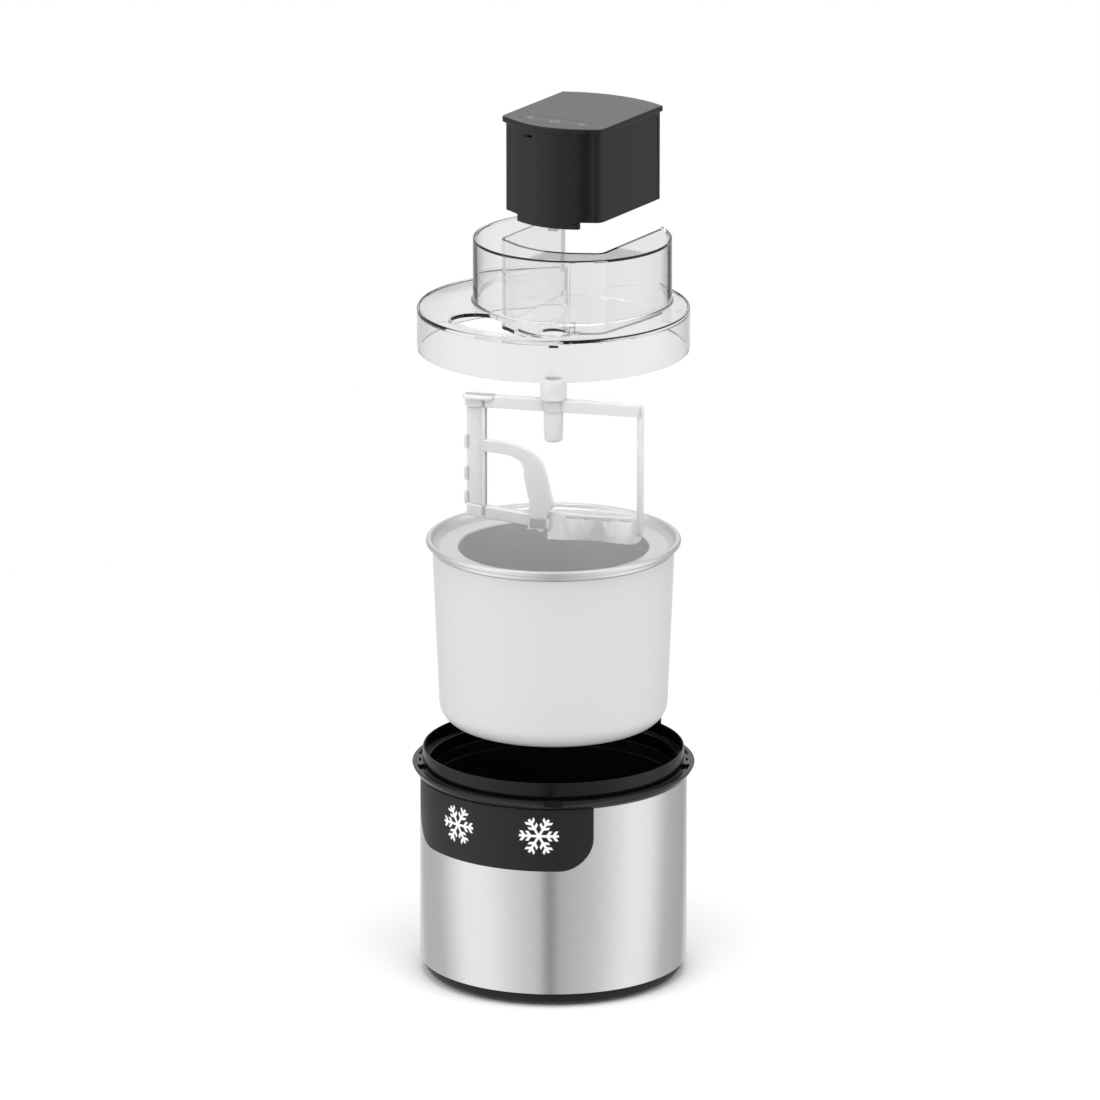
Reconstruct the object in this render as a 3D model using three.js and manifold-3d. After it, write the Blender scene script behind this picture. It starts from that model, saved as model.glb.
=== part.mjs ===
// Ice cream maker, drawn apart on its own axis as it comes to pieces: a steel housing, a freezer bowl, a paddle,
// a clear lid and a motor unit. Millimetres, +Z up, front towards -Y. Every height below is the height that the
// piece has when the machine is together, less STACK for the paddle, its bush, the lid and the motor unit. The
// LIFT values raise each group from these heights to where it is drawn.
import * as THREE from 'three';
import { mergeVertices } from 'three/addons/utils/BufferGeometryUtils.js';
import Module from 'manifold-3d';

const wasm = await Module();
wasm.setup();

// ---------------------------------------------------------------- driving sizes
const GAP = 0.3;             // clearance between pieces that touch
const ROUND = 48;            // sides of every large round piece
const SMALL_ROUND = 20;      // sides of pins, screws and small bosses

const STACK = 14;            // see above
const LIFT = { bowl: 167, paddle: 299.6, lid: 335, motor: 423.2 };

const SLEEVE = { radius: 100, wall: 0.8, bottom: 10.5, top: 154.2 };
const TRAY = { bottom: 2, floor: 2.8, top: 10.2, wall: 2.5 };
const FOOT = { radius: 8, height: 3.3, circle: 82 };
const SCREW_CIRCLE = 66;
const TUB = { top: 153.8, topRadius: 92, bottom: 19.5, bottomRadius: 88.4, wall: 1.8 };
const RING = {
  bottom: 154.5, gutter: 160.4, lipTop: 162.4, lipRadius: 105.6, gutterRadius: 102.1,
  collarRadius: 97.7, collarInner: 96.5, top: 174, ledge: 164.2, bore: 92.4,
};
const REAR_WALL = { outer: 98.4, inner: 95.6, halfWidth: 41, top: 235.3, notch: 17.4, notchDepth: 22 };
const PANEL = { halfAngle: 48.5, drop: 47.5, corner: 24, outer: 101.2 };

const BOWL = {
  bottom: 27.4, rimTop: 169, rimRadius: 95, shellTop: 160.5, shellTopRadius: 90,
  shellBottomRadius: 85.3, shellCorner: 16, shellWall: 1.5,
  cavityRadius: 70.8, cavityFloor: 46.4, cavityCorner: 10, ledge: 162.2, liner: 1.2,
};

const PADDLE = {
  turn: 17, top: 142.4, bar: 9, reach: 69, shaftRadius: 7.2, shaftBottom: 110.2, shaftTop: 157,
  bladeFrom: -66.4, bladeTo: -51.6, thickness: 3, bottom: 34.1,
};
const BUSH = { outer: 9.8, inner: 7.6, top: 158.6 };
const SPINDLE = { across: 7, bottom: 148 };

const LID = {
  radius: 101, wall: 2.2, skirtBottom: 146.8, discTop: 178, disc: 2.5,
  drumRadius: 73.8, drumBack: 27.2, drumTop: 225.3, pocketFloor: 158.5, floor: 2.2, hub: 10.6,
};
const POCKET = { halfWidth: 42.4, corner: 7, shoulder: -3.4, bulge: -16.6 };
const TONGUE = { halfWidth: 26.5, depth: 5.6, inset: 0.5, thickness: 2 };

const CASE = { bottom: 158.9, top: 225.3, wall: 2.2, halfWidth: 41.5, backRadius: 93.6, coverTop: 230.1 };
const INLET = { height: REAR_WALL.top - STACK - REAR_WALL.notchDepth + REAR_WALL.notch / 2, outer: 8, bore: 3.4 };
const GEARS = {
  module: 1, low: { bottom: 163.8, top: 169 }, high: { bottom: 169.7, top: 174 },
  output: { teeth: 22, y: 0 }, small: { teeth: 12, y: 17 }, large: { teeth: 40, y: 17 },
  pinion: { teeth: 10, y: 42 },
};
const GEAR_PLATE = { bottom: 175.2, top: 177.2 };
const MOTOR = { y: 42, radius: 19, bottom: 177.5, top: 212, wall: 1.4 };

// ---------------------------------------------------------------- finishes
const finish = (color, roughness, metalness = 0) => ({ color, roughness, metalness });
const STEEL = finish('#c4c6c8', 0.32, 1);
const GLOSS_BLACK = finish('#0d0d0f', 0.12);
const MATTE_BLACK = finish('#17181a', 0.55);
const PANEL_BLACK = finish('#232428', 0.3);
const RUBBER = finish('#1b1b1c', 0.9);
const ALUMINIUM = finish('#b9bbbd', 0.35, 1);
const WHITE = finish('#ececec', 0.38);
const MILKY = finish('#e6e8e8', 0.45);
const CLEAR = { ...finish('#e9eef0', 0.05), transparent: true, opacity: 0.3 };
const GEL = finish('#7fb4d8', 0.3);
const SCREW_STEEL = finish('#8d9094', 0.35, 1);
const COPPER = finish('#a9643a', 0.4, 1);
const GEAR_PLASTIC = finish('#e3e1d6', 0.5);
const BOARD_GREEN = finish('#1d5b35', 0.5);
const BRASS = finish('#b8964e', 0.35, 1);
const KEYS = finish('#2c2d30', 0.1);

// ---------------------------------------------------------------- solids
const radians = (degrees) => (degrees * Math.PI) / 180;
const onCircle = (radius, degrees) => [radius * Math.cos(radians(degrees)), radius * Math.sin(radians(degrees))];

/** A closed three.js geometry as a manifold solid with its faces outwards. */
function solid(geometry) {
  const bare = geometry.clone();
  bare.deleteAttribute('normal');
  bare.deleteAttribute('uv');
  const merged = mergeVertices(bare, 1e-4);
  const vertProperties = new Float32Array(merged.attributes.position.array);
  const triVerts = new Uint32Array(merged.index.array);
  if (volumeOf(vertProperties, triVerts) < 0) {
    for (let i = 0; i < triVerts.length; i += 3) {
      [triVerts[i], triVerts[i + 1]] = [triVerts[i + 1], triVerts[i]];
    }
  }
  return new wasm.Manifold(new wasm.Mesh({ numProp: 3, vertProperties, triVerts }));
}

function volumeOf(positions, triangles) {
  const corner = (k) => new THREE.Vector3().fromArray(positions, 3 * triangles[k]);
  let volume = 0;
  for (let i = 0; i < triangles.length; i += 3) {
    volume += corner(i).dot(corner(i + 1).cross(corner(i + 2))) / 6;
  }
  return volume;
}

/** A manifold solid as a three.js geometry. */
function geometryOf(body) {
  const mesh = body.getMesh();
  const geometry = new THREE.BufferGeometry();
  geometry.setAttribute('position', new THREE.BufferAttribute(new Float32Array(mesh.vertProperties), 3));
  geometry.setIndex(new THREE.BufferAttribute(new Uint32Array(mesh.triVerts), 1));
  geometry.computeVertexNormals();
  return geometry;
}

/** Joins the first solid with all the others. */
const join = (first, ...others) => others.reduce((whole, piece) => whole.add(piece), first);
/** Cuts all the others out of the first solid. */
const cut = (first, ...others) => others.reduce((whole, piece) => whole.subtract(piece), first);

/** A solid of revolution about Z. Its profile is a list of [radius, height] points that closes on itself. */
function turned(profile, sides = ROUND) {
  const points = [...profile, profile[0]].map(([radius, height]) => new THREE.Vector2(radius, height));
  return solid(new THREE.LatheGeometry(points, sides).rotateX(Math.PI / 2));
}

/** A round bar about Z from one height to another. */
const cylinder = (radius, bottom, top, sides = SMALL_ROUND) => turned(
  [[0, bottom], [radius, bottom], [radius, top], [0, top]], sides);

/** A ring about Z. */
const ring = (outer, inner, bottom, top, sides = ROUND) => turned(
  [[inner, bottom], [outer, bottom], [outer, top], [inner, top]], sides);

/** The points of an arc in a profile, about a centre, from one angle to another. */
function arc(centreRadius, centreHeight, radius, from, to, steps = 4) {
  return Array.from({ length: steps + 1 }, (_, i) => {
    const [across, up] = onCircle(radius, from + ((to - from) * i) / steps);
    return [centreRadius + across, centreHeight + up];
  });
}

/** An outline in plan, raised from one height to another. */
function raised(shape, bottom, top, curveSegments = 8) {
  const settings = { depth: top - bottom, bevelEnabled: false, curveSegments };
  return solid(new THREE.ExtrudeGeometry(shape, settings).translate(0, 0, bottom));
}

const polygon = (points) => new THREE.Shape(points.map(([x, y]) => new THREE.Vector2(x, y)));

/** A box between two corners. */
const box = ([x0, y0, z0], [x1, y1, z1]) => raised(polygon([[x0, y0], [x1, y0], [x1, y1], [x0, y1]]), z0, z1);

/** A wedge about Z, to take a stretch of a ring: its middle direction and half of its angle, in degrees. */
function wedge(middle, halfAngle, bottom, top, reach = 130) {
  const rim = [-1, -0.5, 0, 0.5, 1].map((share) => onCircle(reach, middle + halfAngle * share));
  return raised(polygon([[0, 0], ...rim]), bottom, top);
}

/** Moves a solid. */
const moved = (body, x, y, z = 0) => solid(geometryOf(body).translate(x, y, z));
/** Turns a solid about Z. */
const turnedBy = (body, degrees) => solid(geometryOf(body).rotateZ(radians(degrees)));

/** A rounded box in plan, centred on x and y. */
function roundedBox(width, depth, corner, x, y, bottom, top) {
  const [a, b] = [width / 2, depth / 2];
  const shape = new THREE.Shape();
  shape.moveTo(-a + corner, -b);
  shape.lineTo(a - corner, -b);
  shape.absarc(a - corner, -b + corner, corner, -Math.PI / 2, 0);
  shape.absarc(a - corner, b - corner, corner, 0, Math.PI / 2);
  shape.absarc(-a + corner, b - corner, corner, Math.PI / 2, Math.PI);
  shape.absarc(-a + corner, -b + corner, corner, Math.PI, 1.5 * Math.PI);
  return moved(raised(shape, bottom, top, 4), x, y);
}

/** A named sub-part. */
function part(name, body, look) {
  const mesh = new THREE.Mesh(geometryOf(body), new THREE.MeshStandardMaterial(look));
  mesh.name = name;
  return mesh;
}

/** A group of sub-parts, raised from its place in the assembled machine. */
function group(lift, ...parts) {
  const whole = new THREE.Group();
  whole.position.z = lift;
  whole.add(...parts.flat());
  return whole;
}

// ---------------------------------------------------------------- housing
const cornerAngles = [45, 135, 225, 315];

function baseTray() {
  const { bottom, floor, top, wall } = TRAY;
  const spigot = SLEEVE.radius - SLEEVE.wall - GAP;
  const floorTop = bottom + floor;
  const tray = turned([
    [0, bottom], [94.2, bottom], [95.6, bottom + 0.6], [98.6, top - 1.6], [99.2, top], [spigot, top],
    [spigot, top + 9], [spigot - wall, top + 9], [spigot - wall, floorTop], [0, floorTop],
  ]);
  const recesses = cornerAngles.map((angle) => moved(
    cylinder(FOOT.radius + GAP, bottom - 1, FOOT.height + GAP), ...onCircle(FOOT.circle, angle)));
  const screwHoles = cornerAngles.map((angle) => moved(
    join(cylinder(4.2, bottom - 1, bottom + 1.4), cylinder(2.1, bottom - 1, floorTop + 1)),
    ...onCircle(SCREW_CIRCLE, angle)));
  return part('base_tray', cut(tray, ...recesses, ...screwHoles), MATTE_BLACK);
}

function feet() {
  return cornerAngles.map((angle, index) => {
    const [x, y] = onCircle(FOOT.circle, angle);
    const pad = turned([
      [0, 0], [FOOT.radius - 0.8, 0], [FOOT.radius, 0.8], [FOOT.radius, FOOT.height], [0, FOOT.height],
    ], SMALL_ROUND);
    return part(`rubber_foot_${index + 1}`, moved(pad, x, y), RUBBER);
  });
}

/** A screw that points up: its head and its shank, with a cross recess left to its finish. */
function screw(headRadius, headBottom, headHeight, shankRadius, tip) {
  const seat = headBottom + headHeight;
  return turned([
    [0, headBottom], [headRadius - 0.4, headBottom], [headRadius, headBottom + 0.4], [headRadius, seat],
    [shankRadius, seat], [shankRadius, tip - 0.8], [0, tip],
  ], 16);
}

function baseScrews() {
  return cornerAngles.map((angle, index) => {
    const body = moved(screw(3.6, TRAY.bottom + 0.1, 1, 1.6, 15), ...onCircle(SCREW_CIRCLE, angle));
    return part(`base_screw_${index + 1}`, body, SCREW_STEEL);
  });
}

function steelSleeve() {
  const { radius, wall, bottom, top } = SLEEVE;
  return part('steel_sleeve', ring(radius, radius - wall, bottom, top), STEEL);
}

function innerTub() {
  const { top, topRadius, bottom, bottomRadius, wall } = TUB;
  const flange = SLEEVE.radius - SLEEVE.wall - GAP;
  const tub = turned([
    [0, bottom - wall], [bottomRadius + wall - 6, bottom - wall], [bottomRadius + wall, bottom + 4],
    [topRadius + wall, top - 2.4], [flange, top - 2.4], [flange, top], [topRadius, top],
    [bottomRadius, bottom + 5], [bottomRadius - 5, bottom], [0, bottom],
  ]);
  const bosses = cornerAngles.map((angle) => moved(
    cut(cylinder(4.4, 6.2, bottom - wall + 0.4), cylinder(1.9, 6, 16.2)), ...onCircle(SCREW_CIRCLE, angle)));
  return part('inner_tub', join(tub, ...bosses), MATTE_BLACK);
}

/** The wall at the back of the ring, that closes the lid's pocket, with a notch for the cord inlet. */
function rearWall() {
  const { outer, inner, halfWidth, top, notch, notchDepth } = REAR_WALL;
  const corner = 7;
  const face = new THREE.Shape();
  face.moveTo(-halfWidth, RING.gutter);
  face.lineTo(halfWidth, RING.gutter);
  face.lineTo(halfWidth, top - corner);
  face.absarc(halfWidth - corner, top - corner, corner, 0, Math.PI / 2);
  face.lineTo(notch / 2, top);
  face.lineTo(notch / 2, top - notchDepth + notch / 2);
  face.absarc(0, top - notchDepth + notch / 2, notch / 2, 0, -Math.PI, true);
  face.lineTo(-notch / 2, top);
  face.lineTo(-halfWidth + corner, top);
  face.absarc(-halfWidth + corner, top - corner, corner, Math.PI / 2, Math.PI);
  const settings = { depth: 60, bevelEnabled: false, curveSegments: 6 };
  const slab = new THREE.ExtrudeGeometry(face, settings).rotateX(Math.PI / 2).translate(0, 120, 0);
  return ring(outer, inner, RING.gutter - 0.2, top + 1).intersect(solid(slab));
}

const EAR_ANGLES = [-149, 31];   // where the two ears bridge the gutter, from +X
const LOCK_NOTCH_ANGLE = -59;    // where the lock mark and its notch are

function topRing() {
  const { bottom, gutter, lipTop, lipRadius, gutterRadius, collarRadius, collarInner, top, ledge, bore } = RING;
  const bare = turned([
    [bore, bottom], [100.5, bottom], [102.6, bottom + 1.2], [lipRadius - 0.2, lipTop - 1.2],
    [lipRadius, lipTop - 0.5], [lipRadius - 0.6, lipTop], [gutterRadius, lipTop], [gutterRadius, gutter],
    [collarRadius, gutter], [collarRadius, top - 0.5], [collarRadius - 0.4, top], [collarInner + 0.4, top],
    [collarInner, top - 0.5], [collarInner, ledge], [bore, ledge],
  ]);
  const ears = EAR_ANGLES.map((angle) => ring(gutterRadius + 0.4, collarRadius - 0.3, gutter - 0.2, lipTop)
    .intersect(wedge(angle, 7, 140, 170)));
  const slots = EAR_ANGLES.map((angle) => turnedBy(box([98.9, -3.6, gutter + 0.4], [100.6, 3.6, 170]), angle));
  const notch = turnedBy(box([103.2, -6.7, bottom - 1], [110, 6.7, top]), LOCK_NOTCH_ANGLE);
  return part('top_ring', cut(join(bare, ...ears, rearWall()), ...slots, notch), GLOSS_BLACK);
}

/** The plain black panel: a rounded outline pressed through a thin ring around the sleeve. */
function frontPanel() {
  const { halfAngle, drop, corner, outer } = PANEL;
  const top = RING.bottom - GAP;
  const low = top - drop;
  const half = SLEEVE.radius * Math.sin(radians(halfAngle));
  const face = new THREE.Shape();
  face.moveTo(-half, top + 1);
  face.lineTo(-half, low + corner);
  face.absellipse(-half + 0.8 * corner, low + corner, 0.8 * corner, corner, Math.PI, 1.5 * Math.PI, false, 0);
  face.absellipse(half - 0.8 * corner, low + corner, 0.8 * corner, corner, 1.5 * Math.PI, 2 * Math.PI, false, 0);
  face.lineTo(half, top + 1);
  const settings = { depth: outer + 10, bevelEnabled: false, curveSegments: 8 };
  const slab = new THREE.ExtrudeGeometry(face, settings).rotateX(Math.PI / 2);
  return part('front_panel', ring(outer, SLEEVE.radius + GAP, low, top).intersect(solid(slab)), PANEL_BLACK);
}

// ---------------------------------------------------------------- freezer bowl
function bowlShell() {
  const { bottom, shellTop, shellTopRadius, shellBottomRadius, shellCorner, shellWall } = BOWL;
  const centre = [shellBottomRadius - shellCorner, bottom + shellCorner];
  const outside = arc(...centre, shellCorner, -90, 0, 4);
  const inside = arc(...centre, shellCorner - shellWall, 0, -90, 3);
  const shell = turned([
    [0, bottom], ...outside, [shellTopRadius, shellTop], [shellTopRadius - shellWall, shellTop], ...inside,
    [0, bottom + shellWall],
  ]);
  return part('bowl_shell', cut(shell, cylinder(6.3, bottom - 1, bottom + 5)), WHITE);
}

function bowlLiner() {
  const { rimTop, rimRadius, cavityRadius, cavityFloor, cavityCorner, ledge, liner } = BOWL;
  const bead = 2.3;
  const inner = [cavityRadius - cavityCorner, cavityFloor + cavityCorner];
  const beadCentre = [rimRadius - bead, rimTop - bead];
  return part('bowl_liner', turned([
    [0, cavityFloor],
    ...arc(...inner, cavityCorner, -90, 0, 3),
    [cavityRadius + 0.2, ledge - 1], [cavityRadius + 1.2, ledge], [87.6, ledge], [88.8, ledge + 1.6],
    ...arc(...beadCentre, bead, 160, -90, 5),
    [91, rimTop - 2 * bead + 0.1], [90.2, ledge - liner], [cavityRadius + 1.6, ledge - liner],
    ...arc(...inner, cavityCorner + liner, 0, -90, 3),
    [0, cavityFloor - liner],
  ]), ALUMINIUM);
}

/** The gel that is frozen beforehand, with room above it to swell. */
function coolantGel() {
  const { bottom, shellBottomRadius, shellCorner, shellWall, cavityRadius, cavityFloor, cavityCorner, liner } = BOWL;
  const fillTop = BOWL.ledge - 10.2;
  const outer = [shellBottomRadius - shellCorner, bottom + shellCorner];
  const inner = [cavityRadius - cavityCorner, cavityFloor + cavityCorner];
  return part('coolant_gel', turned([
    [0, bottom + shellWall + GAP], ...arc(...outer, shellCorner - shellWall - GAP, -90, 0, 3),
    [87.6, fillTop], [cavityRadius + liner + 3 * GAP, fillTop],
    ...arc(...inner, cavityCorner + liner + GAP, 0, -90, 3), [0, cavityFloor - liner - GAP],
  ]), GEL);
}

const bowlSeal = () => part('bowl_seal', ring(88.1, 86, BOWL.shellTop - 3.3, BOWL.shellTop + 0.1), RUBBER);
const gelPlug = () => part('gel_fill_plug', cylinder(6, BOWL.bottom + 0.2, BOWL.bottom + 1.4), MATTE_BLACK);

// ---------------------------------------------------------------- paddle
/** An outline seen from the front, x across and y up, as a slab of the given thickness about the XZ plane. */
function upright(shape, thickness, behind = 0) {
  const settings = { depth: thickness, bevelEnabled: false, curveSegments: 8 };
  const slab = new THREE.ExtrudeGeometry(shape, settings).rotateX(Math.PI / 2);
  return solid(slab.translate(0, behind + thickness / 2, 0));
}

/** The arm: it leaves the blade, runs level, bends down and reaches the foot of the paddle. */
function paddleArm() {
  const shape = new THREE.Shape();
  shape.moveTo(-54, 74.5);
  shape.lineTo(-40, 73.8);
  shape.quadraticCurveTo(-14, 70, -7, 57.5);
  shape.lineTo(-3, 44);
  shape.lineTo(1.5, 26.5);
  shape.lineTo(-3.5, 22.5);
  shape.lineTo(-5, 9);
  shape.lineTo(-17, 9);
  shape.lineTo(-18, 29);
  shape.lineTo(-21.5, 47);
  shape.quadraticCurveTo(-22, 64, -54, 65.5);
  return moved(upright(shape, PADDLE.thickness), 0, 0, PADDLE.bottom);
}

/** The plough: three flat facets that lean one after the other, with a thin sole. */
function paddlePlough() {
  const facets = [
    { from: -7, to: 14, lean: 5 },
    { from: 13.5, to: 38, lean: -4 },
    { from: 37.5, to: 66.5, lean: 3 },
  ];
  return join(...facets.map(({ from, to, lean }) => {
    const top = PADDLE.bottom + 21;
    const low = PADDLE.bottom + 1;
    const half = PADDLE.thickness / 2;
    const section = polygon([[-half - lean, low], [half - lean, low], [half + lean, top], [-half + lean, top]]);
    const settings = { depth: to - from, bevelEnabled: false };
    const slab = new THREE.ExtrudeGeometry(section, settings);
    // the section's x becomes y and its y becomes z, so that it is drawn along x
    slab.applyMatrix4(new THREE.Matrix4().set(0, 0, 1, from, 1, 0, 0, 0, 0, 1, 0, 0, 0, 0, 0, 1));
    return solid(slab);
  }));
}

function paddle() {
  const { top, bar, reach, shaftRadius, shaftBottom, shaftTop, bladeFrom, bladeTo, thickness, bottom } = PADDLE;
  const bladeBottom = bottom + 15;
  const half = thickness / 2;
  const crossbar = roundedBox(2 * reach - 4, 7, 2, 0, 0, top - bar, top);
  const endPlate = roundedBox(25, 13, 6, -reach + 12.5, 0, top - 2.6, top);
  const blade = box([bladeFrom, -half, bladeBottom], [bladeTo, half, top - 1]);
  const rib = box([bladeTo - 2.2, -3.6, bladeBottom + 1], [bladeTo, 3.6, top - 1]);
  const tabs = [71.5, 47, 28.4].map((up) => box(
    [bladeFrom - 2, -half, bottom + up - 5], [bladeFrom + 1, half, bottom + up + 5]));
  const foot = moved(upright(polygon([[bladeFrom, 15], [-4, 8.5], [-4, 18.5], [bladeFrom, 24.5]]), 7), 0, 0, bottom);
  const farBar = box([reach - 5, -2.5, bottom + 8], [reach, 2.5, top - 1]);
  const toe = moved(
    upright(polygon([[-19, 16], [-19.4, 7.6], [-12, 8], [-8, 6], [-4, 9], [-2.5, 16]]), thickness), 0, 0, bottom);
  const shaft = turned([
    [0, shaftBottom], [shaftRadius - 2, shaftBottom], [shaftRadius - 0.5, shaftBottom + 1.6],
    [shaftRadius, shaftBottom + 10], [shaftRadius, shaftTop], [0, shaftTop],
  ], 32);
  const slots = [6, 20, 34, 48].map((x) => box([x, -9, bottom + 18.6], [x + 8, 9, bottom + 19.8]));
  const whole = join(crossbar, endPlate, blade, rib, ...tabs, foot, farBar, toe, shaft, paddleArm(), paddlePlough());
  const bore = SPINDLE.across / 2 + GAP;
  const socket = box([-bore, -bore, SPINDLE.bottom - 1.5], [bore, bore, shaftTop + 1]);
  const sweep = cylinder(BOWL.cavityRadius - 1.1, bottom, top + 30, ROUND);
  const cavityCorner = turned([
    [0, bottom], [BOWL.cavityRadius - 8.5, bottom], [BOWL.cavityRadius - 1.1, bottom + 7.4],
    [BOWL.cavityRadius - 1.1, top + 30], [0, top + 30],
  ]);
  return part('paddle', cut(whole.intersect(sweep).intersect(cavityCorner), socket, ...slots), MILKY);
}

function shaftBush() {
  const { outer, inner, top } = BUSH;
  const bottom = PADDLE.top + GAP;
  return part('shaft_bush', turned([
    [inner, bottom], [outer, bottom], [outer, top - 1.6], [outer - 0.5, top - 0.5], [outer - 1.6, top], [5.9, top],
    [5.9, top - 1.6], [inner, top - 1.6],
  ], 32), WHITE);
}

// ---------------------------------------------------------------- clear lid
/** The plan of the motor unit or of its pocket: straight sides, a bowed front, open to the back. */
function pocketPlan(halfWidth, corner, shoulder, bulge, back, backRadius = 0) {
  const shape = new THREE.Shape();
  shape.moveTo(halfWidth, back);
  shape.lineTo(halfWidth, shoulder + corner);
  shape.quadraticCurveTo(halfWidth, shoulder, halfWidth - corner, shoulder - corner * 0.25);
  shape.quadraticCurveTo(halfWidth * 0.4, bulge, 0, bulge);
  shape.quadraticCurveTo(-halfWidth * 0.4, bulge, -halfWidth + corner, shoulder - corner * 0.25);
  shape.quadraticCurveTo(-halfWidth, shoulder, -halfWidth, shoulder + corner);
  shape.lineTo(-halfWidth, back);
  if (backRadius) {
    const angle = Math.acos(halfWidth / backRadius);
    shape.absarc(0, 0, backRadius, Math.PI - angle, angle, true);
  }
  return shape;
}

/** The tongue below the front of the motor unit, grown by an outset to make the slot that takes it. */
function tongueBand(outset, bottom, top) {
  const { halfWidth, inset, thickness } = TONGUE;
  const outer = raised(casePlan(inset - outset), bottom, top);
  const inner = raised(casePlan(inset + thickness + outset), bottom - 1, top + 1);
  const reach = halfWidth + outset;
  return outer.subtract(inner).intersect(box([-reach, -40, bottom - 2], [reach, 0, top + 2]));
}

/** The opening at the front of the disc, where ingredients go in: a curved slot with round ends. */
function fillOpening() {
  const [outer, half, end] = [88, 25, 18.2];
  const [low, high] = [LID.discTop - 6, LID.discTop + 6];
  const band = ring(outer, LID.drumRadius - LID.drumBack, low, high).intersect(wedge(-90, half, 150, 200));
  const ends = [-half, half].map((turn) => moved(cylinder(end, low, high, 32), ...onCircle(outer - end, turn - 90)));
  const drum = moved(cylinder(LID.drumRadius + 3, 150, 240, ROUND), 0, LID.drumBack);
  return join(band, ...ends).subtract(drum);
}

function lid() {
  const { radius, wall, skirtBottom, discTop, disc, drumRadius, drumBack, drumTop, pocketFloor, floor, hub } = LID;
  const { halfWidth, corner, shoulder, bulge } = POCKET;
  const far = 130;
  const outside = join(
    turned([
      [0, skirtBottom], [radius, skirtBottom], [radius, discTop - 1.5], [radius - 1.5, discTop], [0, discTop],
    ]),
    moved(turned([
      [0, discTop - 1], [drumRadius, discTop - 1], [drumRadius, drumTop - 1.2], [drumRadius - 1.2, drumTop],
      [0, drumTop],
    ]), 0, drumBack).intersect(cylinder(radius, discTop - 1, drumTop, ROUND)),
  );
  const pocketWall = pocketPlan(halfWidth + wall, corner + wall, shoulder - wall, bulge - wall, far);
  const keep = raised(pocketWall, pocketFloor - floor, drumTop + 1);
  const inside = join(
    turned([[0, skirtBottom - 1], [radius - wall, skirtBottom - 1], [radius - wall, discTop - disc],
      [0, discTop - disc]]),
    moved(cylinder(drumRadius - wall, discTop - disc - 1, drumTop - wall, ROUND), 0, drumBack)
      .intersect(cylinder(radius - wall, 150, drumTop - wall, ROUND)),
  ).subtract(keep);
  const pocket = raised(pocketPlan(halfWidth, corner, shoulder, bulge, far), pocketFloor, drumTop + 1);
  const rearGap = raised(polygon([[-halfWidth, 94.6], [halfWidth, 94.6], [halfWidth, far], [-halfWidth, far]]), 100, 260)
    .subtract(cylinder(95.2, 90, 270, ROUND));
  const rearFloorCut = ring(far, 95.2, 100, 260).intersect(box([-halfWidth, 60, 100], [halfWidth, far, 260]));
  const earCuts = EAR_ANGLES.map((angle) => ring(far, 80, 140, RING.lipTop - STACK + 0.5).intersect(wedge(angle, 8.2, 130, 160)));
  const collarCut = ring(RING.collarRadius + 0.6, 94.9, 140, RING.top - STACK + 0.4);
  const bushHole = cylinder(hub, 150, 170, 32);
  const tongueSlot = tongueBand(0.5, 150, 170);
  return part('lid', cut(
    outside, inside, pocket, rearGap, rearFloorCut, collarCut, ...earCuts, bushHole, tongueSlot, fillOpening(),
  ), CLEAR);
}

// ---------------------------------------------------------------- motor unit
const casePlan = (inset, back = 0) => pocketPlan(
  CASE.halfWidth - inset, 6.2, POCKET.shoulder + 0.9 + inset, POCKET.bulge + 0.9 + inset, 60 - back,
  CASE.backRadius - inset);

function motorHousing() {
  const { bottom, top, wall, backRadius } = CASE;
  const tube = raised(casePlan(0), bottom, top).subtract(raised(casePlan(wall), bottom - 1, top + 1));
  const tongue = tongueBand(0, bottom - TONGUE.depth, bottom + 1);
  const posts = casePosts().map(([x, y]) => moved(
    cut(cylinder(3.8, bottom + 3.2, top - 4), cylinder(1.8, bottom, bottom + 16)), x, y));
  const slot = box([-22, -20, top - 5.5], [-10, -11, top - 3.6]);
  const inlet = moved(solid(new THREE.CylinderGeometry(4.3, 4.3, 20, SMALL_ROUND)), 0, backRadius, INLET.height);
  return part('motor_housing', cut(join(tube, tongue, ...posts), slot, inlet), GLOSS_BLACK);
}

/** The rubber gland in the back of the motor unit. It sits in the rear wall's notch. */
function cordInlet() {
  const { height, outer, bore } = INLET;
  const back = CASE.backRadius;
  const along = [[bore, back - 5.5], [4, back - 5.5], [4, back + GAP], [outer, back + GAP], [outer - 0.4, back + 7.4],
    [outer - 1.6, back + 8.6], [bore, back + 8.6]];
  const points = [...along, along[0]].map(([radius, y]) => new THREE.Vector2(radius, y));
  const body = solid(new THREE.LatheGeometry(points, SMALL_ROUND));
  return part('cord_inlet', moved(body, 0, 0, height), RUBBER);
}

function bottomPlate() {
  const inset = CASE.wall + GAP;
  const bottom = CASE.bottom + 0.4;
  const top = bottom + 2.4;
  const plate = raised(casePlan(inset), bottom, top);
  const holes = [cylinder(7.4, 150, 170), moved(cylinder(2.2 + 0.15, 150, 170), 0, GEARS.small.y)];
  const boss = moved(cylinder(4.4, top - 0.5, top + 1.2), 0, GEARS.small.y);
  const screwHoles = casePosts().map(([x, y]) => moved(
    join(cylinder(1.9, 150, 170, 16), cylinder(3.3, 150, CASE.bottom + 1.7, 16)), x, y));
  return part('bottom_plate', cut(join(plate, boss), ...holes, ...screwHoles), MATTE_BLACK);
}

/** Where the four case screws stand. */
const casePosts = () => [[-36, 10], [36, 10], [-36, 76], [36, 76]];

function caseScrews() {
  return casePosts().map(([x, y], index) => part(
    `case_screw_${index + 1}`, moved(screw(3, CASE.bottom + 0.1, 1.3, 1.5, 172), x, y), SCREW_STEEL));
}

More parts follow.
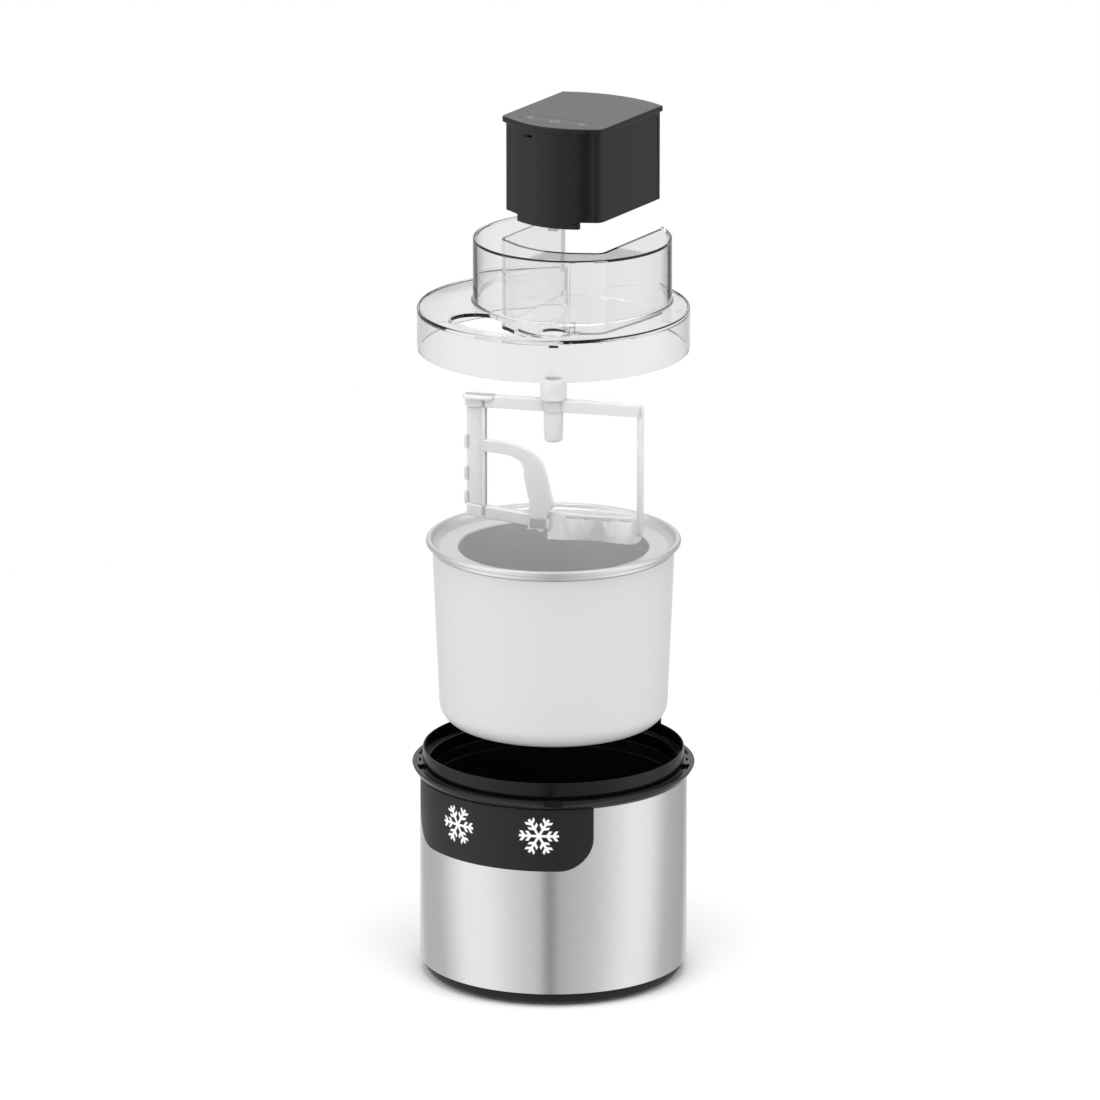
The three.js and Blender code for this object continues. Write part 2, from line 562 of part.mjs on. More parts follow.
function outputBush() {
  return part('output_bush', turned([
    [5.6, 159.4], [7.1, 159.4], [7.1, 161.9], [8.8, 161.9], [8.8, 163.4], [5.6, 163.4],
  ], 32), BRASS);
}

/** The outline of a spur gear: involute flanks, thinned so that the teeth run with play. */
function gearOutline(teeth, turn) {
  const { module: size } = GEARS;
  const pressure = radians(25);
  const pitch = (size * teeth) / 2;
  const base = pitch * Math.cos(pressure);
  const tip = pitch + 0.8 * size;
  const root = pitch - 1.15 * size;
  const play = 0.22;
  const involute = (radius) => {
    const swing = Math.acos(Math.min(1, base / radius));
    return Math.tan(swing) - swing;
  };
  const halfAtPitch = Math.PI / (2 * teeth) - play / 2 / pitch;
  const halfAt = (radius) => halfAtPitch + involute(pitch) - involute(Math.max(radius, base));
  const flank = [root, Math.max(base, root + 0.1), (Math.max(base, root) + tip) / 2, tip];
  const points = [];
  for (let tooth = 0; tooth < teeth; tooth += 1) {
    const middle = turn + (tooth * 2 * Math.PI) / teeth;
    const rising = flank.map((radius) => [radius, middle - halfAt(radius)]);
    const falling = flank.map((radius) => [radius, middle + halfAt(radius)]).reverse();
    points.push(...rising, ...falling);
  }
  return polygon(points.map(([radius, angle]) => [radius * Math.cos(angle), radius * Math.sin(angle)]));
}

/** A gear about its own axis: turn is the angle of its first tooth, in radians. */
const gear = ({ teeth }, { bottom, top }, turn) => raised(gearOutline(teeth, turn), bottom, top);

/** Two gears mesh when a tooth of one, on the line between them, faces a space of the other. */
const facing = (teeth, towards, tooth) => towards + (tooth ? 0 : Math.PI / teeth);

const UP_Y = Math.PI / 2;

function outputGear() {
  const { output, low } = GEARS;
  const half = SPINDLE.across / 2;
  const body = join(
    gear(output, low, facing(output.teeth, UP_Y, true)),
    cylinder(5.2, 158.4, low.bottom + 0.5, 32),
    turnedBy(box([-half, -half, SPINDLE.bottom], [half, half, 159]), PADDLE.turn),
  );
  return part('output_gear', body, GEAR_PLASTIC);
}

function compoundGear() {
  const { small, large, low, high } = GEARS;
  const wheel = join(
    gear(small, { bottom: low.bottom, top: high.bottom + 0.5 }, facing(small.teeth, -UP_Y, false)),
    gear(large, high, facing(large.teeth, UP_Y, true)),
  ).subtract(cylinder(2.35, 150, 190));
  return part('compound_gear', moved(wheel, 0, small.y), GEAR_PLASTIC);
}

const compoundAxle = () => part(
  'compound_axle', moved(cylinder(2, 159.4, GEAR_PLATE.top - 0.2), 0, GEARS.small.y), SCREW_STEEL);

function rotor() {
  const { pinion, high } = GEARS;
  const magnet = turned([
    [0, MOTOR.bottom + 4], [11, MOTOR.bottom + 4], [11, MOTOR.top - 8], [0, MOTOR.top - 8],
  ], 32);
  const body = join(
    gear(pinion, high, facing(pinion.teeth, -UP_Y, false)),
    cylinder(1.6, high.bottom - 0.4, MOTOR.top - 3),
    magnet,
  );
  return part('rotor', moved(body, 0, MOTOR.y), SCREW_STEEL);
}

function motorParts() {
  const { y, radius, bottom, top, wall } = MOTOR;
  const can = cut(cylinder(radius, bottom + 2.3, top, 40), cylinder(radius - wall, bottom, top - wall, 40));
  const endPlate = cut(cylinder(radius, bottom, bottom + 2, 40), cylinder(2.2, bottom - 1, bottom + 4));
  const coil = ring(radius - wall - GAP, 11.6, bottom + 4, top - 7, 40);
  return [
    part('motor_can', moved(can, 0, y), STEEL),
    part('motor_end_plate', moved(endPlate, 0, y), SCREW_STEEL),
    part('stator_coil', moved(coil, 0, y), COPPER),
  ];
}

function gearPlate() {
  const { bottom, top } = GEAR_PLATE;
  const plate = roundedBox(64, 76, 6, 0, 28, bottom, top);
  const holes = [
    moved(cylinder(2.3, 150, 190), 0, GEARS.small.y),
    moved(cylinder(2.4, 150, 190), 0, MOTOR.y),
  ];
  return part('gear_plate', cut(plate.intersect(raised(casePlan(CASE.wall + 1), 150, 190)), ...holes), STEEL);
}

function boards() {
  const control = roundedBox(50, 26, 2, 0, 8, 214.6, 216.2);
  const power = box([-26, 68, 182], [26, 69.6, 210]);
  const capacitor = roundedBox(16, 8, 1.5, -14, 74.2, 186, 200);
  const relay = roundedBox(18, 9, 1, 12, 74.7, 186, 202);
  const interlock = roundedBox(6, 12, 1, -35.6, 26, 180, 196);
  return [
    part('control_board', control, BOARD_GREEN),
    part('power_board', power, BOARD_GREEN),
    part('mains_capacitor', capacitor, finish('#d0a021', 0.5)),
    part('relay', relay, finish('#22478c', 0.4)),
    part('interlock_switch', interlock, MATTE_BLACK),
  ];
}

function topCover() {
  const { top, coverTop, wall } = CASE;
  const overhang = -2;
  const bottom = top + GAP;
  const slab = raised(casePlan(overhang), bottom, coverTop - 1.2);
  const bevelled = raised(casePlan(overhang + 1.2), coverTop - 1.4, coverTop);
  const lip = raised(casePlan(wall + GAP), top - 3, bottom + 1).subtract(raised(casePlan(wall + 2), 200, bottom + 0.4));
  return part('top_cover', join(slab, bevelled, lip).subtract(touchPlan(0.3, coverTop - 1, 240)), GLOSS_BLACK);
}

/** The touch panel near the front edge of the cover. */
const touchPlan = (outset, bottom, top) => roundedBox(
  58 + 2 * outset, 14 + 2 * outset, 6, 0, 3.5, bottom, top);

const touchPanel = () => part('touch_panel', touchPlan(0, CASE.coverTop - 0.7, CASE.coverTop), KEYS);

// ---------------------------------------------------------------- the whole machine
const machine = new THREE.Group();
machine.add(
  group(0, baseTray(), feet(), baseScrews(), steelSleeve(), innerTub(), topRing(), frontPanel()),
  group(LIFT.bowl, bowlShell(), bowlLiner(), coolantGel(), bowlSeal(), gelPlug()),
);
const paddleGroup = group(LIFT.paddle, paddle());
paddleGroup.rotation.z = radians(PADDLE.turn);
machine.add(
  paddleGroup,
  group(LIFT.paddle, shaftBush()),
  group(LIFT.lid, lid()),
);
machine.add(group(
  LIFT.motor, motorHousing(), topCover(), touchPanel(), bottomPlate(), caseScrews(), outputBush(), cordInlet(),
  gearPlate(), motorParts(), boards(), compoundAxle(), rotor(), compoundGear(), outputGear(),
));

export default machine;
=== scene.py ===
"""Visual model of an ice cream maker, drawn apart: housing, freezer bowl, paddle, lid and motor unit."""
import logging
import math
from collections.abc import Callable, Iterable, Sequence
from dataclasses import dataclass
from enum import Enum

import bpy
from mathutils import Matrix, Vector


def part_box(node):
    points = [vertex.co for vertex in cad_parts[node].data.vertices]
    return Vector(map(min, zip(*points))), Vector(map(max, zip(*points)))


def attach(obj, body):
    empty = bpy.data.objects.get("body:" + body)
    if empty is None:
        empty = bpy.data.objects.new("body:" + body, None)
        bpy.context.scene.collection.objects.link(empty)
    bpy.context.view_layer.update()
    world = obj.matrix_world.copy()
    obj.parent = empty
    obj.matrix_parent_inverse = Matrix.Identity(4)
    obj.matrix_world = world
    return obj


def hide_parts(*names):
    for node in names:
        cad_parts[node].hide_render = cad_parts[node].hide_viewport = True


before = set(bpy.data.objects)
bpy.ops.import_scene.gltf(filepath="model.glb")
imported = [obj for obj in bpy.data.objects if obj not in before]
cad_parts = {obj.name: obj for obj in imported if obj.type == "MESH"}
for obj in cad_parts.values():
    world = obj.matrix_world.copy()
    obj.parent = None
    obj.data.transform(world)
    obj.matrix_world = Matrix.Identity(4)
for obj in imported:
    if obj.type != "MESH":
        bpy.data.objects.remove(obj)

LOG = logging.getLogger("ice_cream_maker")
MM = 0.001
EAR_ANGLES = (-149, 31)
LOCK_ANGLE = -59
Object = bpy.types.Object
Node = bpy.types.Node
Socket = bpy.types.NodeSocket
Point = tuple[float, float]
Points = list[Point]
Colour = tuple[float, float, float]


# --------------------------------------------------------------------------------- modelling
class Solver(Enum):
    """How one solid works on another."""

    CUT = "DIFFERENCE"
    KEEP = "INTERSECT"
    JOIN = "UNION"


def clear_selection() -> None:
    """Leave edit mode and deselect everything."""
    if bpy.context.mode != "OBJECT":
        bpy.ops.object.mode_set(mode="OBJECT")
    bpy.ops.object.select_all(action="DESELECT")


def pick(obj: Object) -> None:
    """Make one object the only selected and the active one."""
    clear_selection()
    obj.select_set(True)
    bpy.context.view_layer.objects.active = obj


def start_line(first: Vector) -> Object:
    """Start a drawn line: a plane merged to one vertex, in edit mode.

    Args:
        first: Where the line starts, in metres.

    Returns:
        The object being edited.
    """
    clear_selection()
    bpy.ops.mesh.primitive_plane_add(size=0.01)
    obj = bpy.context.active_object
    bpy.ops.object.mode_set(mode="EDIT")
    bpy.ops.mesh.select_all(action="SELECT")
    bpy.ops.mesh.merge(type="CENTER")
    bpy.ops.transform.translate(value=first)
    return obj


def draw(points: Sequence[Vector], closed: bool = True) -> Object:
    """Draw a line through points by extruding its last vertex.

    Args:
        points: The points of the line, in metres.
        closed: Whether the line comes back to its first point.

    Returns:
        The object, in edit mode, with the whole line selected.
    """
    obj = start_line(points[0])
    route = list(points[1:]) + ([points[0]] if closed else [])
    last = points[0]
    for point in route:
        bpy.ops.mesh.extrude_region_move(TRANSFORM_OT_translate={"value": point - last})
        last = point
    bpy.ops.mesh.select_all(action="SELECT")
    bpy.ops.mesh.remove_doubles(threshold=1e-6)
    bpy.ops.mesh.select_all(action="SELECT")
    return obj


def finish_mesh(obj: Object, smooth_angle: float = 32) -> Object:
    """Close seams, point the faces outwards and shade smooth where faces meet flatly.

    Args:
        obj: The object, in edit mode or not.
        smooth_angle: The angle between faces up to which they shade as one, in degrees.

    Returns:
        The same object, in object mode.
    """
    pick(obj)
    bpy.ops.object.mode_set(mode="EDIT")
    bpy.ops.mesh.select_all(action="SELECT")
    bpy.ops.mesh.remove_doubles(threshold=1e-6)
    bpy.ops.mesh.normals_make_consistent(inside=False)
    bpy.ops.object.mode_set(mode="OBJECT")
    bpy.ops.object.shade_smooth_by_angle(angle=math.radians(smooth_angle))
    return obj


def turned(profile: Sequence[Point], steps: int = 192, lift: float = 0, centre: Point = (0, 0)) -> Object:
    """Turn a closed profile about a vertical axis.

    Args:
        profile: (radius, height) points in millimetres.
        steps: Sides of the round.
        lift: Height added to every point, in millimetres.
        centre: Where the axis stands, in millimetres.

    Returns:
        A closed round solid.
    """
    x, y = centre
    points = [Vector((x + radius, y, height + lift)) * MM for radius, height in profile]
    obj = draw(points)
    bpy.ops.mesh.spin(steps=steps, angle=2 * math.pi, center=(x * MM, y * MM, 0), axis=(0, 0, 1))
    return finish_mesh(obj)


def raised(outline: Sequence[Point], bottom: float, top: float) -> Object:
    """Raise an outline in plan from one height to another.

    Args:
        outline: (x, y) points in millimetres.
        bottom: Height of the underside, in millimetres.
        top: Height of the top, in millimetres.

    Returns:
        A closed prism.
    """
    obj = draw([Vector((x, y, bottom)) * MM for x, y in outline])
    bpy.ops.mesh.edge_face_add()
    bpy.ops.mesh.extrude_region_move(TRANSFORM_OT_translate={"value": (0, 0, (top - bottom) * MM)})
    return finish_mesh(obj)


def pushed(outline: Sequence[Point], front: float, back: float) -> Object:
    """Push an upright outline from front to back.

    Args:
        outline: (x, z) points in millimetres.
        front: y of the front face, in millimetres.
        back: y of the back face, in millimetres.

    Returns:
        A closed prism.
    """
    obj = draw([Vector((x, front, z)) * MM for x, z in outline])
    bpy.ops.mesh.edge_face_add()
    bpy.ops.mesh.extrude_region_move(TRANSFORM_OT_translate={"value": (0, (back - front) * MM, 0)})
    return finish_mesh(obj)


def block(low: Sequence[float], high: Sequence[float]) -> Object:
    """A box between two corners, in millimetres, to cut with or to shape further."""
    clear_selection()
    middle = [(a + b) / 2 * MM for a, b in zip(low, high, strict=True)]
    bpy.ops.mesh.primitive_cube_add(size=1, location=middle)
    obj = bpy.context.active_object
    obj.scale = [(b - a) * MM for a, b in zip(low, high, strict=True)]
    return settle(obj)


def rod(radius: float, bottom: float, top: float, at: Point, sides: int = 48) -> Object:
    """An upright round bar, in millimetres, to cut with or to shape further."""
    clear_selection()
    bpy.ops.mesh.primitive_cylinder_add(
        vertices=sides, radius=radius * MM, depth=(top - bottom) * MM,
        location=(at[0] * MM, at[1] * MM, (top + bottom) / 2 * MM))
    return settle(bpy.context.active_object)


def settle(obj: Object) -> Object:
    """Put an object's place, turn and scale into its mesh."""
    pick(obj)
    bpy.ops.object.transform_apply(location=True, rotation=True, scale=True)
    return obj


def turn(obj: Object, degrees: float) -> Object:
    """Turn an object about the row's vertical axis, in its mesh."""
    obj.rotation_euler = (0, 0, math.radians(degrees))
    return settle(obj)


def work(obj: Object, tools: Iterable[Object], how: Solver = Solver.CUT) -> Object:
    """Cut, keep or join with other solids, which are used up.

    Args:
        obj: The solid worked on.
        tools: The solids it is worked with.
        how: What is done.

    Returns:
        The same object.
    """
    for tool in tools:
        pick(obj)
        change = obj.modifiers.new("Work", "BOOLEAN")
        change.operation = how.value
        change.solver = "EXACT"
        change.object = tool
        bpy.ops.object.modifier_apply(modifier=change.name)
        bpy.data.objects.remove(tool)
    return obj


def together(first: Object, *others: Object) -> Object:
    """Make several meshes one object."""
    pick(first)
    for other in others:
        other.select_set(True)
    bpy.ops.object.join()
    return first


def ease(obj: Object, width: float, segments: int = 2, angle: float = 40) -> Object:
    """Round the sharp edges of a solid.

    Args:
        obj: The solid.
        width: Width of the rounding, in millimetres.
        segments: Facets of the rounding.
        angle: Edges sharper than this are rounded, in degrees.

    Returns:
        The same object.
    """
    pick(obj)
    change = obj.modifiers.new("Ease", "BEVEL")
    change.width = width * MM
    change.segments = segments
    change.limit_method = "ANGLE"
    change.angle_limit = math.radians(angle)
    change.miter_outer = "MITER_ARC"
    bpy.ops.object.modifier_apply(modifier=change.name)
    pick(obj)
    bpy.ops.object.shade_smooth_by_angle(angle=math.radians(42))
    return obj


def sector(angle: float, half: float, bottom: float, top: float) -> Object:
    """A wedge from the axis, about an angle in degrees and half as wide as stated, to keep a stretch with."""
    side = 200 * math.tan(math.radians(half))
    return turn(raised([(0, 0), (200, -side), (200, side)], bottom, top), angle)


def arc(centre: Point, radius: float, start: float, end: float, steps: int = 8) -> Points:
    """Points of an arc.

    Args:
        centre: Its centre, in millimetres.
        radius: Its radius, in millimetres.
        start: Angle of the first point, in degrees.
        end: Angle of the last point, in degrees.
        steps: Chords of the arc.

    Returns:
        The points, both ends included.
    """
    angles = [math.radians(start + (end - start) * i / steps) for i in range(steps + 1)]
    return [(centre[0] + radius * math.cos(a), centre[1] + radius * math.sin(a)) for a in angles]


def bend(start: Point, pull: Point, end: Point, steps: int = 10) -> Points:
    """Points of a curve that leaves start towards pull and reaches end from it, the start left out."""
    shares = [(i + 1) / steps for i in range(steps)]
    return [
        tuple((1 - s) ** 2 * a + 2 * s * (1 - s) * b + s * s * c for a, b, c in zip(start, pull, end))
        for s in shares
    ]


def rounded_box(width: float, depth: float, corner: float, middle: Point = (0, 0)) -> Points:
    """Outline of a rectangle with round corners, in millimetres."""
    a, b = width / 2 - corner, depth / 2 - corner
    corners = [(a, -b, -90), (a, b, 0), (-a, b, 90), (-a, -b, 180)]
    return [
        point
        for x, y, start in corners
        for point in arc((middle[0] + x, middle[1] + y), corner, start, start + 90, 6)
    ]


# ----------------------------------------------------------------------------- shader groups
class Graph:
    """A node tree with short calls to add and link nodes."""

    def __init__(self, tree: bpy.types.NodeTree) -> None:
        """Hold a tree.

        Args:
            tree: The tree that the nodes go in.
        """
        self.tree = tree
        self.column = 0

    def add(self, kind: str, inputs: dict | None = None, **settings: object) -> Node:
        """Add a node.

        Args:
            kind: The node's type name.
            inputs: Its socket values or links, by socket name or number.
            settings: Its properties.

        Returns:
            The node.
        """
        node = self.tree.nodes.new(kind)
        node.location = (180 * self.column, 0)
        self.column += 1
        for key, value in settings.items():
            setattr(node, key, value)
        for key, value in (inputs or {}).items():
            if isinstance(value, Socket):
                self.tree.links.new(value, node.inputs[key])
            else:
                node.inputs[key].default_value = value
        return node

    def math(self, operation: str, *values: object) -> Socket:
        """The result of a Math node."""
        return self.add("ShaderNodeMath", dict(enumerate(values)), operation=operation).outputs[0]

    def span(self, value: object, low: float, high: float, to_low: float = 0, to_high: float = 1) -> Socket:
        """A value brought smoothly from one span to another, and held at its ends."""
        inputs = {0: value, 1: low, 2: high, 3: to_low, 4: to_high}
        return self.add("ShaderNodeMapRange", inputs, interpolation_type="SMOOTHSTEP").outputs[0]

    def mix(self, share: object, first: object, second: object) -> Socket:
        """A colour between two."""
        return self.add("ShaderNodeMix", {0: share, 6: first, 7: second}, data_type="RGBA").outputs[2]

    def length(self, vector: Socket) -> Socket:
        """The length of a vector."""
        return self.add("ShaderNodeVectorMath", {0: vector}, operation="LENGTH").outputs["Value"]

    def shade(self, colour: object, value: Socket) -> Socket:
        """A colour made darker or lighter by a value."""
        tint = self.add("ShaderNodeMix", {0: 1, 6: colour}, data_type="RGBA", blend_type="MULTIPLY")
        self.tree.links.new(value, tint.inputs[7])
        return tint.outputs[2]


def make_group(name: str, inputs: dict[str, float], outputs: Sequence[str],
               build: Callable) -> bpy.types.NodeTree:
    """Build a shader node group.

    Args:
        name: Its name.
        inputs: Number inputs and their values. A Vector input is always there first.
        outputs: Number outputs.
        build: Called with the graph and the input node; returns a socket for each output.

    Returns:
        The group.
    """
    tree = bpy.data.node_groups.new(name, "ShaderNodeTree")
    tree.interface.new_socket("Vector", in_out="INPUT", socket_type="NodeSocketVector")
    for socket, value in inputs.items():
        made = tree.interface.new_socket(socket, in_out="INPUT", socket_type="NodeSocketFloat")
        made.default_value = value
    for socket in outputs:
        tree.interface.new_socket(socket, in_out="OUTPUT", socket_type="NodeSocketFloat")
    graph = Graph(tree)
    entry = graph.add("NodeGroupInput")
    leave = graph.add("NodeGroupOutput")
    for socket, value in zip(outputs, build(graph, entry), strict=True):
        tree.links.new(value, leave.inputs[socket])
    return tree


def noise(graph: Graph, entry: Node, detail: float, **values: float) -> Socket:
    """Noise over a group's Vector and Scale."""
    inputs = {"Vector": entry.outputs["Vector"], "Scale": entry.outputs["Scale"], "Detail": detail, **values}
    return graph.add("ShaderNodeTexNoise", inputs).outputs["Fac"]


def in_plan(graph: Graph, entry: Node) -> tuple[Node, Socket]:
    """A group's Vector in its three parts, and its distance from the upright axis."""
    place = graph.add("ShaderNodeSeparateXYZ", {0: entry.outputs["Vector"]})
    flat = graph.add("ShaderNodeCombineXYZ", {0: place.outputs[0], 1: place.outputs[1]})
    return place, graph.length(flat.outputs[0])


class Effects:
    """The shared effects, each built once."""

    def __init__(self) -> None:
        """Build every group."""
        self.grain = make_group("brush_lines", {"Fineness": 2600, "Stretch": 14}, ["Lines"], self._grain)
        self.texture = make_group(
            "moulded_texture", {"Scale": 1400, "Contrast": 1}, ["Height"], self._texture)
        self.smudge = make_group("handling_marks", {"Scale": 18, "Amount": 0.05}, ["Change"], self._smudge)
        self.rings = make_group("turned_rings", {"Spacing": 2200}, ["Lines"], self._rings)
        self.dust = make_group("fine_dust", {"Scale": 900, "Threshold": 0.72}, ["Dust"], self._dust)
        self.flake = make_group("six_arm_flake", {"Size": 0.01, "Line": 0.0011}, ["Mark"], self._flake)
        self.disc = make_group("round_mark", {"Radius": 0.004, "Line": 0.0005}, ["Mark"], self._disc)

    @staticmethod
    def _grain(graph: Graph, entry: Node) -> list:
        """Fine lines that run round the axis."""
        place = graph.add("ShaderNodeSeparateXYZ", {0: entry.outputs["Vector"]})
        angle = graph.math("ARCTAN2", place.outputs[1], place.outputs[0])
        around = graph.math("MULTIPLY", angle, entry.outputs["Stretch"])
        up = graph.math("MULTIPLY", place.outputs[2], entry.outputs["Fineness"])
        seat = graph.add("ShaderNodeCombineXYZ", {0: around, 1: up})
        lines = graph.add(
            "ShaderNodeTexNoise", {"Vector": seat.outputs[0], "Scale": 1, "Detail": 3}, noise_dimensions="2D")
        return [lines.outputs["Fac"]]

    @staticmethod
    def _texture(graph: Graph, entry: Node) -> list:
        """Fine spark-eroded texture of moulded plastic."""
        return [graph.math("MULTIPLY", noise(graph, entry, 2), entry.outputs["Contrast"])]

    @staticmethod
    def _smudge(graph: Graph, entry: Node) -> list:
        """Broad soft patches where hands have been."""
        centred = graph.math("SUBTRACT", noise(graph, entry, 4, Distortion=0.6), 0.5)
        return [graph.math("MULTIPLY", centred, entry.outputs["Amount"])]

    @staticmethod
    def _rings(graph: Graph, entry: Node) -> list:
        """Fine rings left by turning, on flat and upright faces alike."""
        place, radius = in_plan(graph, entry)
        across = graph.math("ADD", radius, place.outputs[2])
        seat = graph.math("MULTIPLY", across, entry.outputs["Spacing"])
        rings = graph.add("ShaderNodeTexNoise", {"W": seat, "Scale": 1, "Detail": 3}, noise_dimensions="1D")
        return [rings.outputs["Fac"]]

    @staticmethod
    def _dust(graph: Graph, entry: Node) -> list:
        """Sparse specks."""
        over = graph.math("SUBTRACT", noise(graph, entry, 1), entry.outputs["Threshold"])
        return [graph.span(over, 0, 0.08)]

    @staticmethod
    def _flake(graph: Graph, entry: Node) -> list:
        """A plain six-armed flake about the vector's zero, with two pairs of twigs on each arm."""
        place, radius = in_plan(graph, entry)
        angle = graph.math("ARCTAN2", place.outputs[1], place.outputs[0])
        sixth = math.pi / 3
        folded = graph.math("PINGPONG", angle, sixth / 2)
        along = graph.math("MULTIPLY", radius, graph.math("COSINE", folded))
        aside = graph.math("MULTIPLY", radius, graph.math("SINE", folded))
        size, line = entry.outputs["Size"], entry.outputs["Line"]
        arm = graph.math("LESS_THAN", aside, graph.math("MULTIPLY", line, 0.5))
        arm = graph.math("MULTIPLY", arm, graph.math("LESS_THAN", along, size))
        marks = arm
        for share in (0.42, 0.72):
            past_foot = graph.math("SUBTRACT", along, graph.math("MULTIPLY", size, share))
            lean = graph.math("SUBTRACT", past_foot, graph.math("MULTIPLY", aside, 0.7))
            near = graph.math("LESS_THAN", graph.math("ABSOLUTE", lean), graph.math("MULTIPLY", line, 0.62))
            reach = graph.math("LESS_THAN", aside, graph.math("MULTIPLY", size, 0.26))
            marks = graph.math("MAXIMUM", marks, graph.math("MULTIPLY", near, reach))
        return [marks]

    @staticmethod
    def _disc(graph: Graph, entry: Node) -> list:
        """A thin ring about the vector's zero, in its x and y."""
        radius = in_plan(graph, entry)[1]
        off = graph.math("ABSOLUTE", graph.math("SUBTRACT", radius, entry.outputs["Radius"]))
        return [graph.math("LESS_THAN", off, entry.outputs["Line"])]


# ---------------------------------------------------------------------------------- finishes
@dataclass(frozen=True)
class Finish:
    """A finish, with the values that its surface starts from."""

    name: str
    colour: Colour
    roughness: float
    metallic: float = 0
    coat: float = 0
    specular: float = 0.5
    relief: float = 0.00001
    relief_scale: float = 1400

    def build(self, effects: Effects) -> bpy.types.Material:
        """Make the material.

        Args:
            effects: The shared shader groups.

        Returns:
            A node material that reads Object coordinates.
        """
        material = bpy.data.materials.new(self.name)
        material.use_nodes = True
        material.node_tree.nodes.clear()
        material.diffuse_color = (*self.colour, 1)
        graph = Graph(material.node_tree)
        place = graph.add("ShaderNodeTexCoord").outputs["Object"]
        shader = graph.add("ShaderNodeBsdfPrincipled", {
            "Base Color": (*self.colour, 1), "Roughness": self.roughness, "Metallic": self.metallic,
            "Specular IOR Level": self.specular})
        if self.coat:
            shader.inputs["Coat Weight"].default_value = self.coat
            shader.inputs["Coat Roughness"].default_value = 0.04
        graph.add("ShaderNodeOutputMaterial", {"Surface": shader.outputs[0]})
        self.dress(graph, place, shader, effects)
        return material

    def dress(self, graph: Graph, place: Socket, shader: Node, effects: Effects) -> None:
        """Add the moulded texture, handling marks and specks that most plastics have.

        Args:
            graph: The material's nodes.
            place: Object coordinates.
            shader: The Principled shader.
            effects: The shared shader groups.
        """
        texture = group(graph, effects.texture, place, Scale=self.relief_scale)
        relief(graph, shader, texture.outputs["Height"], self.relief)
        marks = group(graph, effects.smudge, place, Amount=0.16)
        vary(graph, shader, "Roughness", self.roughness, marks.outputs["Change"])
        dust = group(graph, effects.dust, place)
        pale = tuple(c * 0.92 + 0.05 for c in self.colour)
        share = graph.math("MULTIPLY", dust.outputs["Dust"], 0.35)
        graph.tree.links.new(graph.mix(share, (*self.colour, 1), (*pale, 1)), shader.inputs["Base Color"])


def group(graph: Graph, tree: bpy.types.NodeTree, place: Socket, **values: float) -> Node:
    """Place a shader group in a material, with its own values."""
    node = graph.add("ShaderNodeGroup", node_tree=tree)
    graph.tree.links.new(place, node.inputs["Vector"])
    for name, value in values.items():
        node.inputs[name].default_value = value
    return node


def relief(graph: Graph, shader: Node, height: Socket, depth: float) -> None:
    """Raise a surface by a height pattern, to a depth in metres."""
    bump = graph.add("ShaderNodeBump", {"Height": height, "Distance": depth, "Strength": 1})
    graph.tree.links.new(bump.outputs["Normal"], shader.inputs["Normal"])


def vary(graph: Graph, shader: Node, socket: str, middle: float, change: Socket) -> None:
    """Let a shader value change over the surface about its middle."""
    total = graph.math("ADD", change, middle)
    graph.tree.links.new(graph.math("MINIMUM", graph.math("MAXIMUM", total, 0.02), 1), shader.inputs[socket])


@dataclass(frozen=True)
class BrushedSteel(Finish):
    """Steel brushed round the sleeve, with a fine weld line down its back."""

    def dress(self, graph: Graph, place: Socket, shader: Node, effects: Effects) -> None:
        """Add brush lines to colour, roughness and relief, and the weld line."""
        lines = group(graph, effects.grain, place).outputs["Lines"]
        fine = graph.span(lines, 0.3, 0.7, 0.95, 1.0)
        tint = graph.shade((*self.colour, 1), fine)
        marks = group(graph, effects.smudge, place, Amount=0.03, Scale=9)
        rough = graph.math("ADD", graph.span(lines, 0.3, 0.7, -0.02, 0.02), marks.outputs["Change"])
        vary(graph, shader, "Roughness", self.roughness, rough)
        at = graph.add("ShaderNodeSeparateXYZ", {0: place})
        behind = graph.math("GREATER_THAN", at.outputs[1], 0)
        near = graph.math("LESS_THAN", graph.math("ABSOLUTE", at.outputs[0]), 0.0005)
        weld = graph.math("MULTIPLY", behind, near)
        dark = graph.mix(graph.math("MULTIPLY", weld, 0.45), tint, (0.2, 0.2, 0.2, 1))
        graph.tree.links.new(dark, shader.inputs["Base Color"])
        height = graph.math("SUBTRACT", graph.math("MULTIPLY", lines, 0.5), weld)
        relief(graph, shader, height, self.relief)


@dataclass(frozen=True)
class TurnedMetal(Finish):
    """Metal with the fine rings of turning or spinning."""

    coating_and_shade_colour: Colour | None = None
    inner_radius: float = 0.0722

    def dress(self, graph: Graph, place: Socket, shader: Node, effects: Effects) -> None:
        """Add rings to roughness and relief, and give the inside of the cavity a darker, less metallic
        colour: partly its duller coating, partly painted shade of the deep cavity.
        """
        rings = group(graph, effects.rings, place).outputs["Lines"]
        marks = group(graph, effects.smudge, place, Amount=0.12, Scale=14)
        rough = graph.math("ADD", graph.span(rings, 0.3, 0.7, -0.05, 0.05), marks.outputs["Change"])
        vary(graph, shader, "Roughness", self.roughness, rough)
        shade = graph.span(rings, 0.25, 0.75, 0.94, 1.04)
        base = (*self.colour, 1)
        # Painted shade: inside inner_radius the colour turns darker and less metallic. This is partly the
        # cavity's duller coating and partly painted shade of the deep cavity.
        if self.coating_and_shade_colour:
            flat = graph.add("ShaderNodeVectorMath", {0: place, 1: (1, 1, 0)}, operation="MULTIPLY")
            inside = graph.span(graph.length(flat.outputs[0]), self.inner_radius, self.inner_radius - 0.0006)
            base = graph.mix(inside, (*self.colour, 1), (*self.coating_and_shade_colour, 1))
            graph.tree.links.new(graph.span(inside, 0, 1, self.metallic, 0.25), shader.inputs["Metallic"])
        graph.tree.links.new(graph.shade(base, shade), shader.inputs["Base Color"])
        relief(graph, shader, rings, self.relief)


